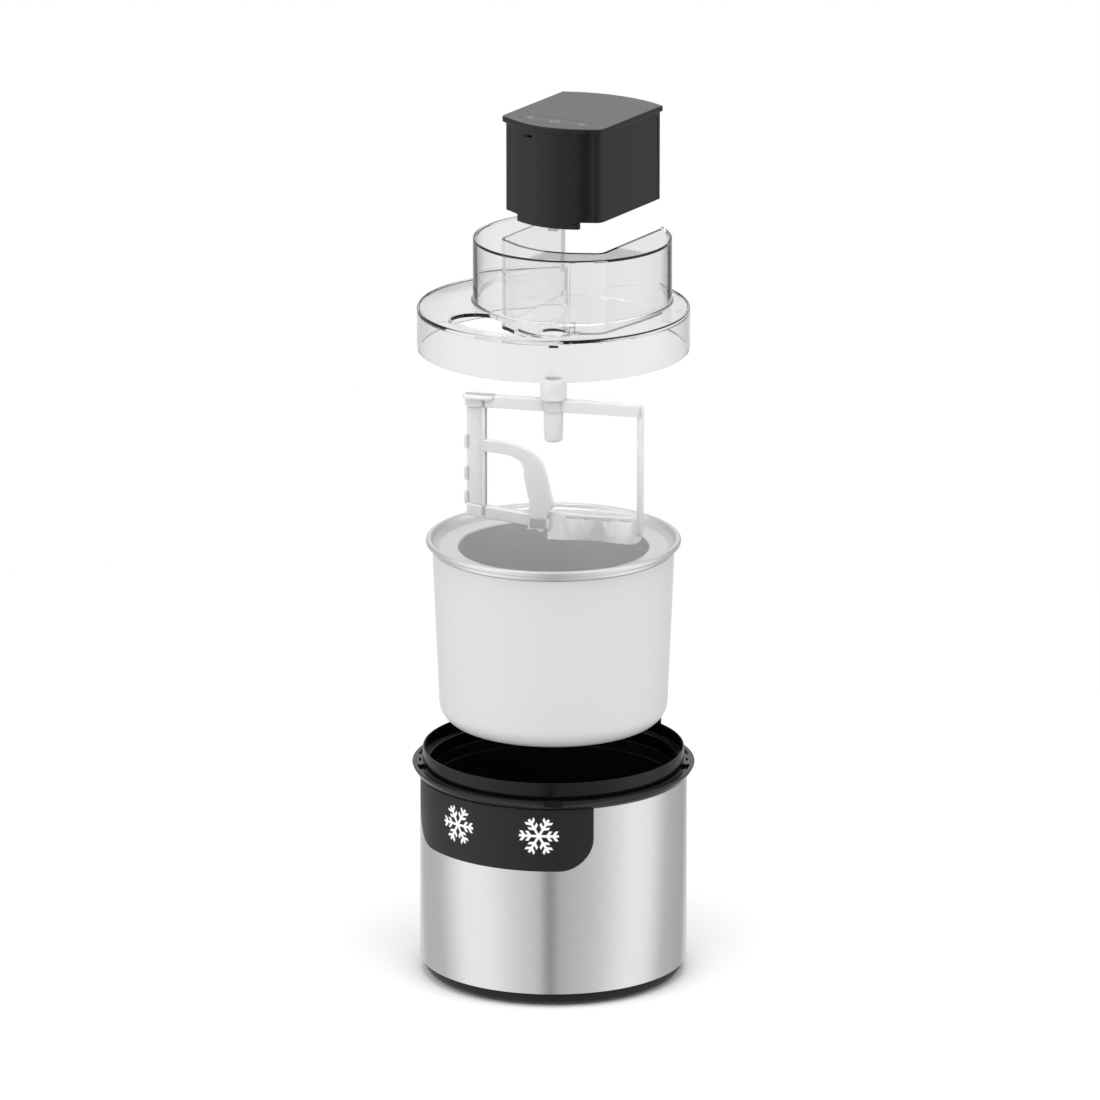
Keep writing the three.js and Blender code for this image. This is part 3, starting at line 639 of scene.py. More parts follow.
@dataclass(frozen=True)
class MarkedPanel(Finish):
    """Plain dark panel that wraps a sleeve, with generic flakes printed on it."""

    sleeve_radius: float = 0.1
    mark_height: float = 0.1342
    mark_size: float = 0.0148
    mark_line: float = 0.0019
    mark_angles: tuple[float, ...] = (-13.6, 24.8)
    mark_colour: Colour = (0.86, 0.87, 0.88)

    def dress(self, graph: Graph, place: Socket, shader: Node, effects: Effects) -> None:
        """Print the flakes, in coordinates that run round the sleeve."""
        at = graph.add("ShaderNodeSeparateXYZ", {0: place})
        ahead = graph.math("MULTIPLY", at.outputs[1], -1)
        angle = graph.math("ARCTAN2", at.outputs[0], ahead)
        around = graph.math("MULTIPLY", angle, self.sleeve_radius)
        up = graph.math("SUBTRACT", at.outputs[2], self.mark_height)
        printed = None
        for degrees in self.mark_angles:
            across = graph.math("SUBTRACT", around, math.radians(degrees) * self.sleeve_radius)
            spot = graph.add("ShaderNodeCombineXYZ", {0: across, 1: up}).outputs[0]
            flake = group(graph, effects.flake, spot, Size=self.mark_size, Line=self.mark_line)
            mark = flake.outputs["Mark"]
            printed = mark if printed is None else graph.math("MAXIMUM", printed, mark)
        graph.tree.links.new(
            graph.mix(printed, (*self.colour, 1), (*self.mark_colour, 1)), shader.inputs["Base Color"])
        marks = group(graph, effects.smudge, place, Amount=0.12)
        ink = graph.math("MULTIPLY", printed, 0.2)
        vary(graph, shader, "Roughness", self.roughness, graph.math("ADD", marks.outputs["Change"], ink))
        texture = group(graph, effects.texture, place, Scale=self.relief_scale).outputs["Height"]
        relief(graph, shader, graph.math("ADD", graph.math("MULTIPLY", texture, 0.4), printed), self.relief)


@dataclass(frozen=True)
class TouchSurface(Finish):
    """Gloss black touch surface with three faint printed rings."""

    mark_places: tuple[tuple[float, float, float], ...] = ()
    ink: Colour = (0.32, 0.33, 0.34)

    def dress(self, graph: Graph, place: Socket, shader: Node, effects: Effects) -> None:
        """Print the rings, each at its x and y with its radius, in metres."""
        printed = None
        for x, y, radius in self.mark_places:
            spot = graph.add("ShaderNodeMapping", {"Vector": place, "Location": (-x, -y, 0)}).outputs[0]
            mark = group(graph, effects.disc, spot, Radius=radius, Line=0.00028).outputs["Mark"]
            printed = mark if printed is None else graph.math("MAXIMUM", printed, mark)
        inked = graph.mix(printed, (*self.colour, 1), (*self.ink, 1))
        graph.tree.links.new(inked, shader.inputs["Base Color"])
        marks = group(graph, effects.smudge, place, Amount=0.1, Scale=30)
        vary(graph, shader, "Roughness", self.roughness, marks.outputs["Change"])


@dataclass(frozen=True)
class MilkyPlastic(Finish):
    """Translucent white plastic that light soaks into."""

    def dress(self, graph: Graph, place: Socket, shader: Node, effects: Effects) -> None:
        """Let light in, and cloud the colour a little."""
        shader.inputs["Subsurface Weight"].default_value = 0.5
        shader.inputs["Subsurface Radius"].default_value = (1, 1, 1)
        shader.inputs["Subsurface Scale"].default_value = 0.004
        super().dress(graph, place, shader, effects)
        cloud = group(graph, effects.smudge, place, Amount=0.5, Scale=60).outputs["Change"]
        deep = tuple(c * 0.93 for c in self.colour)
        share = graph.span(cloud, -0.2, 0.2)
        graph.tree.links.new(graph.mix(share, (*self.colour, 1), (*deep, 1)), shader.inputs["Base Color"])


@dataclass(frozen=True)
class ClearPlastic(Finish):
    """Clear plastic that light passes through, also on its way to what it shades."""

    bending: float = 1.4

    def dress(self, graph: Graph, place: Socket, shader: Node, effects: Effects) -> None:
        """Make it clear, with faint flow marks, and let shadow rays through it."""
        shader.inputs["Transmission Weight"].default_value = 1
        shader.inputs["IOR"].default_value = self.bending
        flow = group(graph, effects.smudge, place, Amount=0.05, Scale=22).outputs["Change"]
        vary(graph, shader, "Roughness", self.roughness, flow)
        soft = group(graph, effects.smudge, place, Amount=1, Scale=26).outputs["Change"]
        relief(graph, shader, soft, self.relief)
        ray = graph.add("ShaderNodeLightPath")
        passing = graph.add("ShaderNodeBsdfTransparent", {"Color": (*self.colour, 1)})
        blend = graph.add("ShaderNodeMixShader", {
            0: ray.outputs["Is Shadow Ray"], 1: shader.outputs[0], 2: passing.outputs[0]})
        out = next(node for node in graph.tree.nodes if node.type == "OUTPUT_MATERIAL")
        graph.tree.links.new(blend.outputs[0], out.inputs["Surface"])


@dataclass(frozen=True)
class BoardLacquer(Finish):
    """Circuit board lacquer with copper tracks under it."""

    def dress(self, graph: Graph, place: Socket, shader: Node, effects: Effects) -> None:
        """Draw tracks as a stepped pattern in lighter green."""
        darker = (*(c * 0.8 for c in self.colour), 1)
        lighter = (*(c * 1.9 + 0.02 for c in self.colour), 1)
        tracks = graph.add("ShaderNodeTexBrick", {
            "Vector": place, "Scale": 160, "Mortar Size": 0.06, "Color1": (*self.colour, 1), "Color2": darker,
            "Mortar": lighter})
        graph.tree.links.new(tracks.outputs["Color"], shader.inputs["Base Color"])
        relief(graph, shader, tracks.outputs["Fac"], self.relief)


@dataclass(frozen=True)
class Winding(Finish):
    """Enamelled wire, wound round the motor's axis."""

    def dress(self, graph: Graph, place: Socket, shader: Node, effects: Effects) -> None:
        """Raise each turn of the wire, and darken the grooves between turns as painted shade."""
        turns = graph.add("ShaderNodeTexWave", {"Vector": place, "Scale": 320}, bands_direction="Z")
        relief(graph, shader, turns.outputs["Fac"], self.relief)
        # Painted shade: the colour is darkest in the grooves between turns, where the relief is lowest.
        graph.tree.links.new(
            graph.mix(turns.outputs["Fac"], (*(c * 0.6 for c in self.colour), 1), (*self.colour, 1)),
            shader.inputs["Base Color"])


class Finishes:
    """Every finish of the machine, built once."""

    def __init__(self, effects: Effects) -> None:
        """Build the materials from the shared shader groups."""
        def make(finish: Finish) -> bpy.types.Material:
            """Build one finish."""
            return finish.build(effects)

        self.steel = make(BrushedSteel("brushed_steel", (0.74, 0.745, 0.75), 0.2, 1, relief=0.000002))
        self.gloss_black = make(Finish(
            "gloss_black", (0.004, 0.004, 0.004), 0.12, specular=0.28, relief=0.000006, relief_scale=260))
        self.case_black = make(Finish(
            "case_black", (0.005, 0.005, 0.005), 0.17, specular=0.34, relief=0.000006, relief_scale=220))
        self.matte_black = make(Finish(
            "matte_black", (0.005, 0.005, 0.005), 0.45, specular=0.2, relief=0.00002))
        self.panel = make(MarkedPanel(
            "panel_black", (0.012, 0.0125, 0.014), 0.36, specular=0.25, relief=0.00001))
        self.rubber = make(Finish("foot_rubber", (0.02, 0.02, 0.02), 0.8, relief=0.00004, relief_scale=900))
        # The liner's cavity colour is darker: partly a duller coating, partly painted shade of the deep
        # cavity.
        self.aluminium = make(TurnedMetal(
            "spun_aluminium", (0.78, 0.785, 0.79), 0.33, 1, relief=0.00001, coating_and_shade_colour=(0.62, 0.62, 0.625)))
        self.white_shell = make(Finish(
            "white_shell", (0.66, 0.66, 0.66), 0.36, coat=0.1, relief=0.00001, relief_scale=420))
        self.milky = make(MilkyPlastic("milky_plastic", (0.7, 0.703, 0.706), 0.46, relief=0.000014))
        self.clear = make(ClearPlastic("clear_plastic", (0.972, 0.975, 0.977), 0.03, relief=0.00003))
        self.screw_steel = make(TurnedMetal("screw_steel", (0.5, 0.51, 0.53), 0.3, 1, relief=0.00002))
        self.plate_steel = make(TurnedMetal("plate_steel", (0.6, 0.61, 0.62), 0.35, 1, relief=0.00001))
        self.brass = make(TurnedMetal("bush_brass", (0.62, 0.45, 0.18), 0.3, 1, relief=0.00001))
        self.gear = make(Finish("gear_plastic", (0.72, 0.69, 0.6), 0.4, relief=0.00002))
        self.gel = make(Finish("coolant_gel", (0.2, 0.45, 0.7), 0.25, relief=0.0001, relief_scale=120))
        self.board = make(BoardLacquer("board_lacquer", (0.012, 0.09, 0.035), 0.3, relief=0.00003))
        self.copper = make(Winding("wound_copper", (0.55, 0.22, 0.08), 0.35, 1, relief=0.0001))
        self.capacitor = make(Finish("capacitor_yellow", (0.6, 0.42, 0.05), 0.4, relief=0.00002))
        self.relay = make(Finish("relay_blue", (0.03, 0.09, 0.3), 0.35, relief=0.00002))
        self.touch = make(TouchSurface(
            "touch_surface", (0.005, 0.005, 0.005), 0.14, specular=0.4,
            mark_places=((-0.022, 0.0035, 0.0016), (0, 0.002, 0.0032), (0.022, 0.0035, 0.0016))))


# ---------------------------------------------------------------------------- sub-assemblies
@dataclass
class Assembly:
    """A group of pieces that one class builds, with heights in millimetres, raised by lift to the frame's."""

    finishes: Finishes
    lift: float = 0

    def place(self, obj: Object, name: str, body: str, slot: str, look: bpy.types.Material,
              *nodes: str) -> Object:
        """Name a finished piece, dress it, and let it stand for its CAD nodes.

        Args:
            obj: The piece.
            name: Its name.
            body: The body that it moves with.
            slot: The record's material slot name; not used.
            look: Its material.
            nodes: The CAD nodes that it replaces.

        Returns:
            The piece.
        """
        obj.name = name
        obj.data.materials.clear()
        obj.data.materials.append(look)
        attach(obj, body)
        if nodes:
            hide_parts(*nodes)
        LOG.info("%s: %d faces, rides on %s", name, len(obj.data.polygons), body)
        return obj


def dress_node(name: str, look: bpy.types.Material) -> None:
    """Give a CAD node that stays its material."""
    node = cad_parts[name]
    if not node.material_slots:
        node.data.materials.append(look)
    for place in node.material_slots:
        place.material = look
    LOG.info("%s keeps its mesh", name)


@dataclass
class Housing(Assembly):
    """Base tray with feet, steel sleeve, tub, top ring with its rear wall, and the black panel."""

    sleeve_radius: float = 100
    sleeve_wall: float = 0.8
    collar_radius: float = 97.7
    gutter_floor: float = 160.4
    wall_top: float = 235.3
    wall_half: float = 41
    notch_radius: float = 8.7

    def build(self) -> None:
        """Build every piece of the housing."""
        self.tray()
        self.feet()
        self.screws()
        self.sleeve()
        self.tub()
        self.ring()
        self.panel()

    def tray(self) -> None:
        """Base tray: a tapered plinth with a shadow groove at its top, foot recesses and screw pockets."""
        profile = [
            (0, 2), (30, 2), (30.6, 2.6), (33.4, 2.6), (34, 2), (93.4, 2), (94.6, 2.25), (95.4, 3),
            (97.4, 6.4), (98.5, 8.6), (98.9, 9.5), (98.7, 10), (98.1, 10.2), (98.1, 16), (96.2, 16),
            (96.2, 4.8), (0, 4.8),
        ]
        tray = turned(profile, 224)
        recesses = [rod(8.35, 1, 3.6, self.middle(node)) for node in self.numbered("rubber_foot")]
        pockets = [rod(4.2, 1, 3.4, self.middle(node)) for node in self.numbered("base_screw")]
        finish_mesh(work(tray, [*recesses, *pockets]))
        self.place(tray, "base_tray_shell", "housing", "matte_black", self.finishes.matte_black, "base_tray")

    @staticmethod
    def numbered(stem: str) -> list[str]:
        """The four nodes of one kind."""
        return [f"{stem}_{number}" for number in range(1, 5)]

    @staticmethod
    def middle(node: str) -> Point:
        """Where a node stands in plan, in millimetres."""
        low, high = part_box(node)
        return (low.x + high.x) / 2 / MM, (low.y + high.y) / 2 / MM

    def feet(self) -> None:
        """Rubber feet with a rolled edge and a moulded ring in the sole."""
        profile = [
            (0, 0.3), (2.6, 0.3), (3, 0), (3.8, 0), (4.2, 0.3), (5, 0.3), (5.4, 0), (6.8, 0), (7.6, 0.3),
            (8, 1), (8, 3.2), (0, 3.2),
        ]
        for node in self.numbered("rubber_foot"):
            foot = turned(profile, 56, centre=self.middle(node))
            self.place(foot, f"{node}_pad", "housing", "rubber", self.finishes.rubber, node)

    def screws(self) -> None:
        """Pan-head screws with a cross recess, in the tray's pockets."""
        for node in self.numbered("base_screw"):
            screw = cross_screw(self.middle(node), head_bottom=2.2, head_radius=3.5, tip=15)
            self.place(screw, f"{node}_pan", "housing", "plain_steel", self.finishes.screw_steel, node)

    def sleeve(self) -> None:
        """Steel sleeve with rolled edges."""
        out, wall = self.sleeve_radius, self.sleeve_wall
        bottom, top = 10.5, 154.2
        profile = [
            (out - wall, bottom + 0.2), (out - wall / 2, bottom), (out - 0.12, bottom + 0.12),
            (out, bottom + 0.5), (out, top - 0.5), (out - 0.12, top - 0.12), (out - wall / 2, top),
            (out - wall, top - 0.2),
        ]
        self.place(turned(profile, 256), "steel_sleeve_tube", "housing", "brushed_steel", self.finishes.steel,
                   "steel_sleeve")

    def tub(self) -> None:
        """Deep tub with a rounded floor, a step near its mouth and a stiffening ring."""
        profile = [
            (0, 17.7), (82, 17.7), *arc((82.2, 25.7), 8, -90, -2, 6), (93.8, 151.4), (98.8, 151.4),
            (98.8, 153.8), (92, 153.8), (91.9, 146), (91.2, 145.3), (91.1, 142), (90.9, 60),
            *arc((81.2, 26.9), 7.4, 0, -90, 8), (40, 19.5), (39.2, 20.1), (36.8, 20.1), (36, 19.5), (0, 19.5),
        ]
        self.place(turned(profile, 192), "tub_shell", "housing", "matte_black", self.finishes.matte_black,
                   "inner_tub")

    def ring(self) -> None:
        """Top ring: flared lip, gutter, collar, ledge, two ears with slots, and the rear wall."""
        out, low = self.collar_radius, self.gutter_floor
        profile = [
            (92.4, 154.5), (100.4, 154.5), (101.2, 154.9), (102.2, 155.6), (104.6, 159.4), (105.3, 160.9),
            *arc((105, 161.8), 0.6, 0, 90, 4), (102.7, 162.4), (102.2, 162), (102.1, low + 0.5), (101.7, low),
            (out + 0.4, low), (out, low + 0.4), (out, 173.4), *arc((out - 0.6, 173.4), 0.6, 0, 180, 6),
            (96.5, 164.8), (96.2, 164.2), (93, 164.2), (92.4, 163.6),
        ]
        ring = turned(profile, 256)
        notch = turn(block((103.1, -6.7, 150), (112, 6.7, 165)), LOCK_ANGLE)
        work(ring, [notch])
        ears = [self.ear(angle) for angle in EAR_ANGLES]
        rib = turn(ease(block((out - 0.2, -0.5, low), (out + 0.45, 0.5, 170)), 0.2), LOCK_ANGLE + 16.4)
        ring = together(finish_mesh(ring), *ears, rib, self.rear_wall())
        self.place(ring, "top_ring_moulding", "housing", "gloss_black", self.finishes.gloss_black, "top_ring")

    def ear(self, angle: float) -> Object:
        """An ear that bridges the gutter, with a slot in it."""
        low, high = self.gutter_floor - 0.2, self.gutter_floor + 2
        bridge = turned([(97.4, low), (102.5, low), (102.5, high), (97.4, high)], 256)
        work(bridge, [sector(angle, 7, 150, 170)], Solver.KEEP)
        slot = turn(block((98.9, -3.6, low + 0.6), (100.6, 3.6, 175)), angle)
        work(bridge, [slot])
        return ease(bridge, 0.25)

    def rear_wall(self) -> Object:
        """Curved wall behind the lid's pocket, with round corners and a notch for the cord inlet."""
        half, top, notch = self.wall_half, self.wall_top, self.notch_radius
        seat = top - 22 + notch
        outline = [
            (-half, 158), (half, 158), *arc((half - 7, top - 7), 7, 0, 90, 8),
            *arc((notch + 2, top - 2), 2, 90, 180, 4), *arc((0, seat), notch, 0, -180, 20),
            *arc((-notch - 2, top - 2), 2, 0, 90, 4), *arc((-half + 7, top - 7), 7, 90, 180, 8),
        ]
        low = self.gutter_floor - 0.2
        wall = turned([(95.6, low), (98.4, low), (98.4, top + 4), (95.6, top + 4)], 256)
        work(wall, [pushed(outline, 50, 120)], Solver.KEEP)
        return ease(wall, 0.45, 3)

    def panel(self) -> None:
        """Plain black panel with round lower corners, wrapped round the sleeve under the ring."""
        low_corner, high_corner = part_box("front_panel")
        top, low = high_corner.z / MM, low_corner.z / MM
        half, outer = high_corner.x / MM, 101.15
        across, corner = 19, 24
        bends = [math.radians(degrees) for degrees in range(90, -1, -9)]
        left = [(-half + across * (1 - math.sin(a)), low + corner * (1 - math.cos(a))) for a in bends]
        right = [(-x, z) for x, z in reversed(left)]
        outline = [(-half, top + 2), *left, *right, (half, top + 2)]
        inner = self.sleeve_radius + 0.25
        panel = turned([(inner, low - 1), (outer, low - 1), (outer, top), (inner, top)], 256)
        work(panel, [pushed(outline, -130, 0)], Solver.KEEP)
        ease(panel, 0.3, 3)
        self.place(panel, "front_panel_skin", "housing", "panel_black", self.finishes.panel, "front_panel")


def cross_screw(at: Point, head_bottom: float, head_radius: float, tip: float) -> Object:
    """A screw that points up, with a domed head and a cross recess.

    Args:
        at: Where it stands in plan, in millimetres.
        head_bottom: Height of the head's crown.
        head_radius: Radius of the head.
        tip: Height of the screw's tip.

    Returns:
        The screw.
    """
    x, y = at
    seat = head_bottom + 1
    profile = [
        (0, head_bottom), (head_radius - 1.2, head_bottom + 0.1), (head_radius - 0.3, head_bottom + 0.5),
        (head_radius, seat), (1.5, seat), (1.5, tip - 0.8), (0, tip),
    ]
    screw = turned(profile, 40, centre=at)
    slots = [
        block((x - 2, y - 0.4, head_bottom - 1), (x + 2, y + 0.4, head_bottom + 0.6)),
        block((x - 0.4, y - 2, head_bottom - 1), (x + 0.4, y + 2, head_bottom + 0.6)),
    ]
    return finish_mesh(work(screw, slots), 30)


@dataclass
class Bowl(Assembly):
    """Freezer bowl: white shell and aluminium liner with a rolled rim."""

    bottom: float = 27.4
    rim_top: float = 169
    rim_radius: float = 95
    ledge: float = 162.2
    cavity_radius: float = 70.8
    cavity_floor: float = 46.4

    def build(self) -> None:
        """Build the bowl."""
        self.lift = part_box("bowl_liner")[1].z / MM - self.rim_top
        self.shell()
        self.liner()
        self.plug()

    def shell(self) -> None:
        """White shell that tapers to a rounded foot with a shallow standing ring."""
        foot = self.bottom
        corner = (69.3, foot + 16)
        profile = [
            (6.3, foot + 0.1), (40, foot + 0.1), (40.6, foot + 0.4), (60, foot + 0.4), (60.6, foot),
            (69.3, foot), *arc(corner, 16, -84, -4, 14), (87.6, 98), (90, 160.1), (89.7, 160.5),
            (88.5, 160.5),
            (86.1, 98), (83.9, foot + 17.5), *arc(corner, 14.4, 0, -90, 10), (6.3, foot + 1.6),
        ]
        self.place(turned(profile, 256, self.lift), "bowl_outer_shell", "bowl", "white_plastic",
                   self.finishes.white_shell, "bowl_shell")

    def liner(self) -> None:
        """Aluminium liner: cavity, ledge, groove and a rolled bead."""
        floor, wall, ledge = self.cavity_floor, self.cavity_radius, self.ledge
        corner = (wall - 10, floor + 10)
        bead = (self.rim_radius - 2.3, self.rim_top - 2.3)
        profile = [
            (0, floor), *arc(corner, 10, -90, 0, 10), (wall + 0.1, ledge - 1.6),
            *arc((wall + 1.6, ledge - 1.5), 1.5, 180, 90, 5), (84.6, ledge), (85.6, ledge + 0.3),
            (87.4, ledge + 1.9), (88.6, ledge + 2.4), (89.6, ledge + 3.2),
            *arc(bead, 2.3, 160, -90, 18), (91.4, ledge + 2.1), (90.4, ledge + 1.2), (90.2, ledge - 1.2),
            (wall + 1.7, ledge - 1.2), *arc(corner, 11.2, 0, -90, 8), (0, floor - 1.2),
        ]
        self.place(turned(profile, 256, self.lift), "bowl_spun_liner", "bowl", "satin_aluminium",
                   self.finishes.aluminium, "bowl_liner")

    def plug(self) -> None:
        """Gel fill plug with a coin slot."""
        foot = self.bottom
        profile = [(0, foot + 0.3), (5.4, foot + 0.3), (5.9, foot + 0.7), (5.9, foot + 1.6), (0, foot + 1.6)]
        plug = turned(profile, 56, self.lift)
        slot = block((-3.6, -0.5, foot - 2 + self.lift), (3.6, 0.5, foot + 0.9 + self.lift))
        finish_mesh(work(plug, [slot]))
        self.place(plug, "gel_plug_cap", "bowl", "matte_black", self.finishes.matte_black, "gel_fill_plug")


@dataclass
class Paddle(Assembly):
    """Milky paddle with a scraper blade, an arm and a plough, and the bush on its shaft."""

    turn_angle: float = 17
    top: float = 142.4
    bottom: float = 34.1
    reach: float = 69
    blade_from: float = -66.4
    blade_to: float = -51.6

    def build(self) -> None:
        """Build the paddle and its bush."""
        self.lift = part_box("shaft_bush")[1].z / MM - 158.6
        paddle = together(
            self.crossbar(), self.end_plate(), self.blade(), self.rib(), *self.tabs(), self.foot(),
            self.far_bar(), self.toe(), self.arm(), self.plough(), self.shaft(), self.shaft_collar())
        turn(paddle, self.turn_angle)
        self.place(paddle, "paddle_moulding", "paddle_body", "milky_plastic", self.finishes.milky, "paddle")
        self.bush()

    def low(self, height: float) -> float:
        """A height above the paddle's foot, as it is drawn."""
        return self.bottom + height + self.lift

    def crossbar(self) -> Object:
        """Bar across the top, a channel open at its underside."""
        high = self.top + self.lift
        bar = raised(rounded_box(2 * self.reach - 3, 7.2, 2.4), high - 9, high)
        hollow = block((self.blade_to - 1, -1.9, high - 10), (-11, 1.9, high - 2))
        other = block((11, -1.9, high - 10), (self.reach - 7, 1.9, high - 2))
        return ease(work(bar, [hollow, other]), 0.7, 3)

    def end_plate(self) -> Object:
        """Wide round plate over the blade."""
        high = self.top + self.lift
        plate = raised(rounded_box(25, 13.4, 6, (-self.reach + 12.3, 0)), high - 3, high + 0.05)
        return ease(plate, 0.8, 3)

    def blade(self) -> Object:
        """Flat upright blade, thinned towards its outer edge."""
        low, high = self.low(15), self.top + self.lift - 1
        edge, inner = self.blade_from, self.blade_to
        outline = [(edge, -0.7), (edge + 3, -1.5), (inner, -1.5), (inner, 1.5), (edge + 3, 1.5), (edge, 0.7)]
        return ease(raised(outline, low, high), 0.35, 2)

    def rib(self) -> Object:
        """Stiffening rib along the blade's inner edge."""
        rib = block((self.blade_to - 2.4, -3.6, self.low(16)), (self.blade_to, 3.6, self.top + self.lift - 2))
        return ease(rib, 0.6, 3)

    def tabs(self) -> list[Object]:
        """Three scraper tabs on the blade's outer edge."""
        edge = self.blade_from
        return [
            ease(pushed([
                (edge - 2, self.low(up - 3.8)), (edge - 1.6, self.low(up - 5)), (edge + 2, self.low(up - 5)),
                (edge + 2, self.low(up + 5)), (edge - 1.2, self.low(up + 5)), (edge - 2, self.low(up + 3.6)),
            ], -1.2, 1.2), 0.3, 2)
            for up in (71.5, 47, 28.4)
        ]

    def foot(self) -> Object:
        """Bar that slopes down from the blade to the middle."""
        edge = self.blade_from
        outline = self.lifted([(edge + 0.4, 15.2), (-4, 8.6), (-4, 18), (-30, 20.4), (edge + 0.4, 24.4)])
        return ease(pushed(outline, -3.4, 3.4), 0.8, 3)

    def far_bar(self) -> Object:
        """Thin upright bar on the far side."""
        bar = block((self.reach - 5, -2.6, self.low(8)), (self.reach - 0.6, 2.6, self.top + self.lift - 1))
        return ease(bar, 0.9, 3)

    def toe(self) -> Object:
        """Pointed toe under the arm, with a notch beside it."""
        outline = self.lifted([
            (-18.6, 16), (-18.2, 10), (-19.6, 7.2), (-12.6, 8.4), (-9.4, 6), (-7, 6.4), (-5, 8.6), (-2.8, 9),
            (-2.4, 16),
        ])
        return ease(pushed(outline, -4.3, -1.1), 0.3, 2)

    def arm(self) -> Object:
        """Arm that runs level from the blade, bends, and comes down broad to the toe."""
        outline = self.lifted([
            (-54, 74.6), (-41, 74), *bend((-41, 74), (-13.5, 71.5), (-6.6, 57), 14), (-3, 44), (0, 31.4),
            (1.9, 26.8), (0.2, 25), (-1.6, 24.4), (-2.4, 22.8), (-4, 22.2), (-4.4, 20), (-5, 9), (-17, 9),
            (-17.8, 29), (-21.2, 45.6), *bend((-21.2, 45.6), (-22.6, 49.5), (-21.6, 53), 5),
            *bend((-21.6, 53), (-22.6, 62.5), (-38, 64.6), 10), (-54, 65.6),
        ])
        return ease(pushed(outline, -4.4, -1), 0.6, 3)

    def lifted(self, points: Sequence[Point]) -> Points:
        """Points given above the foot, as they are drawn."""
        return [(x, self.low(up)) for x, up in points]

    def plough(self) -> Object:
        """Plough: a scooped plate whose facets lean in turn, with slots along its top and a rounded end."""
        stations = [
            (-4, 1.6), (6, 2), (14, 0.2), (26, -1.6), (36, -1.7), (44, 0), (54, 1.4), (62, 1.6), (67.4, 0.8)]
        low, high = self.low(0.9), self.low(20.6)
        last_x, last_lean = stations[0]
        plate = draw([Vector((last_x, y, z)) * MM for y, z in self.section(last_lean, low, high)])
        bpy.ops.mesh.edge_face_add()
        for x, lean in stations[1:]:
            bpy.ops.mesh.extrude_region_move(TRANSFORM_OT_translate={"value": ((x - last_x) * MM, 0, 0)})
            ratio = (lean - last_lean) / (high - low)
            self.shear_section(plate, ratio, (low + high) / 2)
            last_x, last_lean = x, lean
        finish_mesh(plate)
        slots = [block((x, -12, self.low(17.4)), (x + 8.5, 12, self.low(18.7))) for x in (10, 24, 38, 51)]
        work(plate, [*slots, self.end_cutter()])
        return ease(plate, 0.4, 2, 50)

    def section(self, lean: float, low: float, high: float) -> Points:
        """Section of the plough, as (y, z) points."""
        half = 1.5
        return [(-half - lean, low), (half - lean, low), (half + lean, high), (-half + lean, high)]

    @staticmethod
    def shear_section(obj: Object, ratio: float, middle: float) -> None:
        """Lean the selected section: its top goes back and its foot comes forward, in two moves.

        Args:
            obj: The object in edit mode.
            ratio: How far the lean changes over the section's height.
            middle: Height about which it leans, in millimetres.
        """
        bpy.ops.object.mode_set(mode="OBJECT")
        chosen = [vertex.index for vertex in obj.data.vertices if vertex.select]
        for above in (True, False):
            for vertex in obj.data.vertices:
                vertex.select = vertex.index in chosen and (vertex.co.z > middle * MM) == above
            for edge in obj.data.edges:
                edge.select = all(obj.data.vertices[i].select for i in edge.vertices)
            for face in obj.data.polygons:
                face.select = False
            height = max(v.co.z for v in obj.data.vertices) - min(v.co.z for v in obj.data.vertices)
            bpy.ops.object.mode_set(mode="EDIT")
            bpy.ops.transform.translate(value=(0, (1 if above else -1) * ratio * height, 0))
            bpy.ops.object.mode_set(mode="OBJECT")
        for face in obj.data.polygons:
            face.select = all(i in chosen for i in face.vertices)
        for edge in obj.data.edges:
            edge.select = all(i in chosen for i in edge.vertices)
        for vertex in obj.data.vertices:
            vertex.select = vertex.index in chosen
        bpy.ops.object.mode_set(mode="EDIT")

    def end_cutter(self) -> Object:
        """What the plough's lower outer corner is rounded with."""
        radius = 9
        x, z = self.reach - 0.4 - radius, self.low(0.9) + radius
        outline = [*arc((x, z), radius, 0, -90, 10), (x, z - radius - 6), (x + radius + 6, z - radius - 6),
                   (x + radius + 6, z)]
        return pushed(outline, -14, 14)

    def shaft(self) -> Object:
        """Shaft: a round end below the crossbar, a step, and the square socket in its top."""
        profile = [
            (0, 110.2), (4.4, 110.2), *arc((4.4, 112.6), 2.4, -80, -5, 6), (7.1, 122), (7.25, self.top - 9),
            (7.2, 156.5), (6.8, 157), (0, 157),
        ]
        shaft = turned(profile, 72, self.lift)
        socket = block((-3.8, -3.8, 146.5 + self.lift), (3.8, 3.8, 160 + self.lift))
        return finish_mesh(work(shaft, [socket]))

    def shaft_collar(self) -> Object:
        """Moulded collar where the shaft passes through the crossbar."""
        high = self.top + self.lift
        profile = [
            (6.9, high - 8.8), (7.6, high - 8.8), (7.9, high - 8.4), (7.9, high - 0.6), (7.6, high - 0.2),
            (6.9, high - 0.2),
        ]
        return turned(profile, 72)

    def bush(self) -> None:
        """White bush on the shaft, with a rounded top."""
        profile = [
            (7.6, 142.7), (9.4, 142.7), (9.8, 143.1), (9.8, 156.6), *arc((7.8, 156.6), 2, 0, 90, 8),
            (6.2, 158.6), (5.9, 158.3), (5.9, 157.3), (7.6, 157.2),
        ]
        self.place(turned(profile, 96, self.lift), "bush_sleeve", "bush", "white_plastic",
                   self.finishes.milky, "shaft_bush")


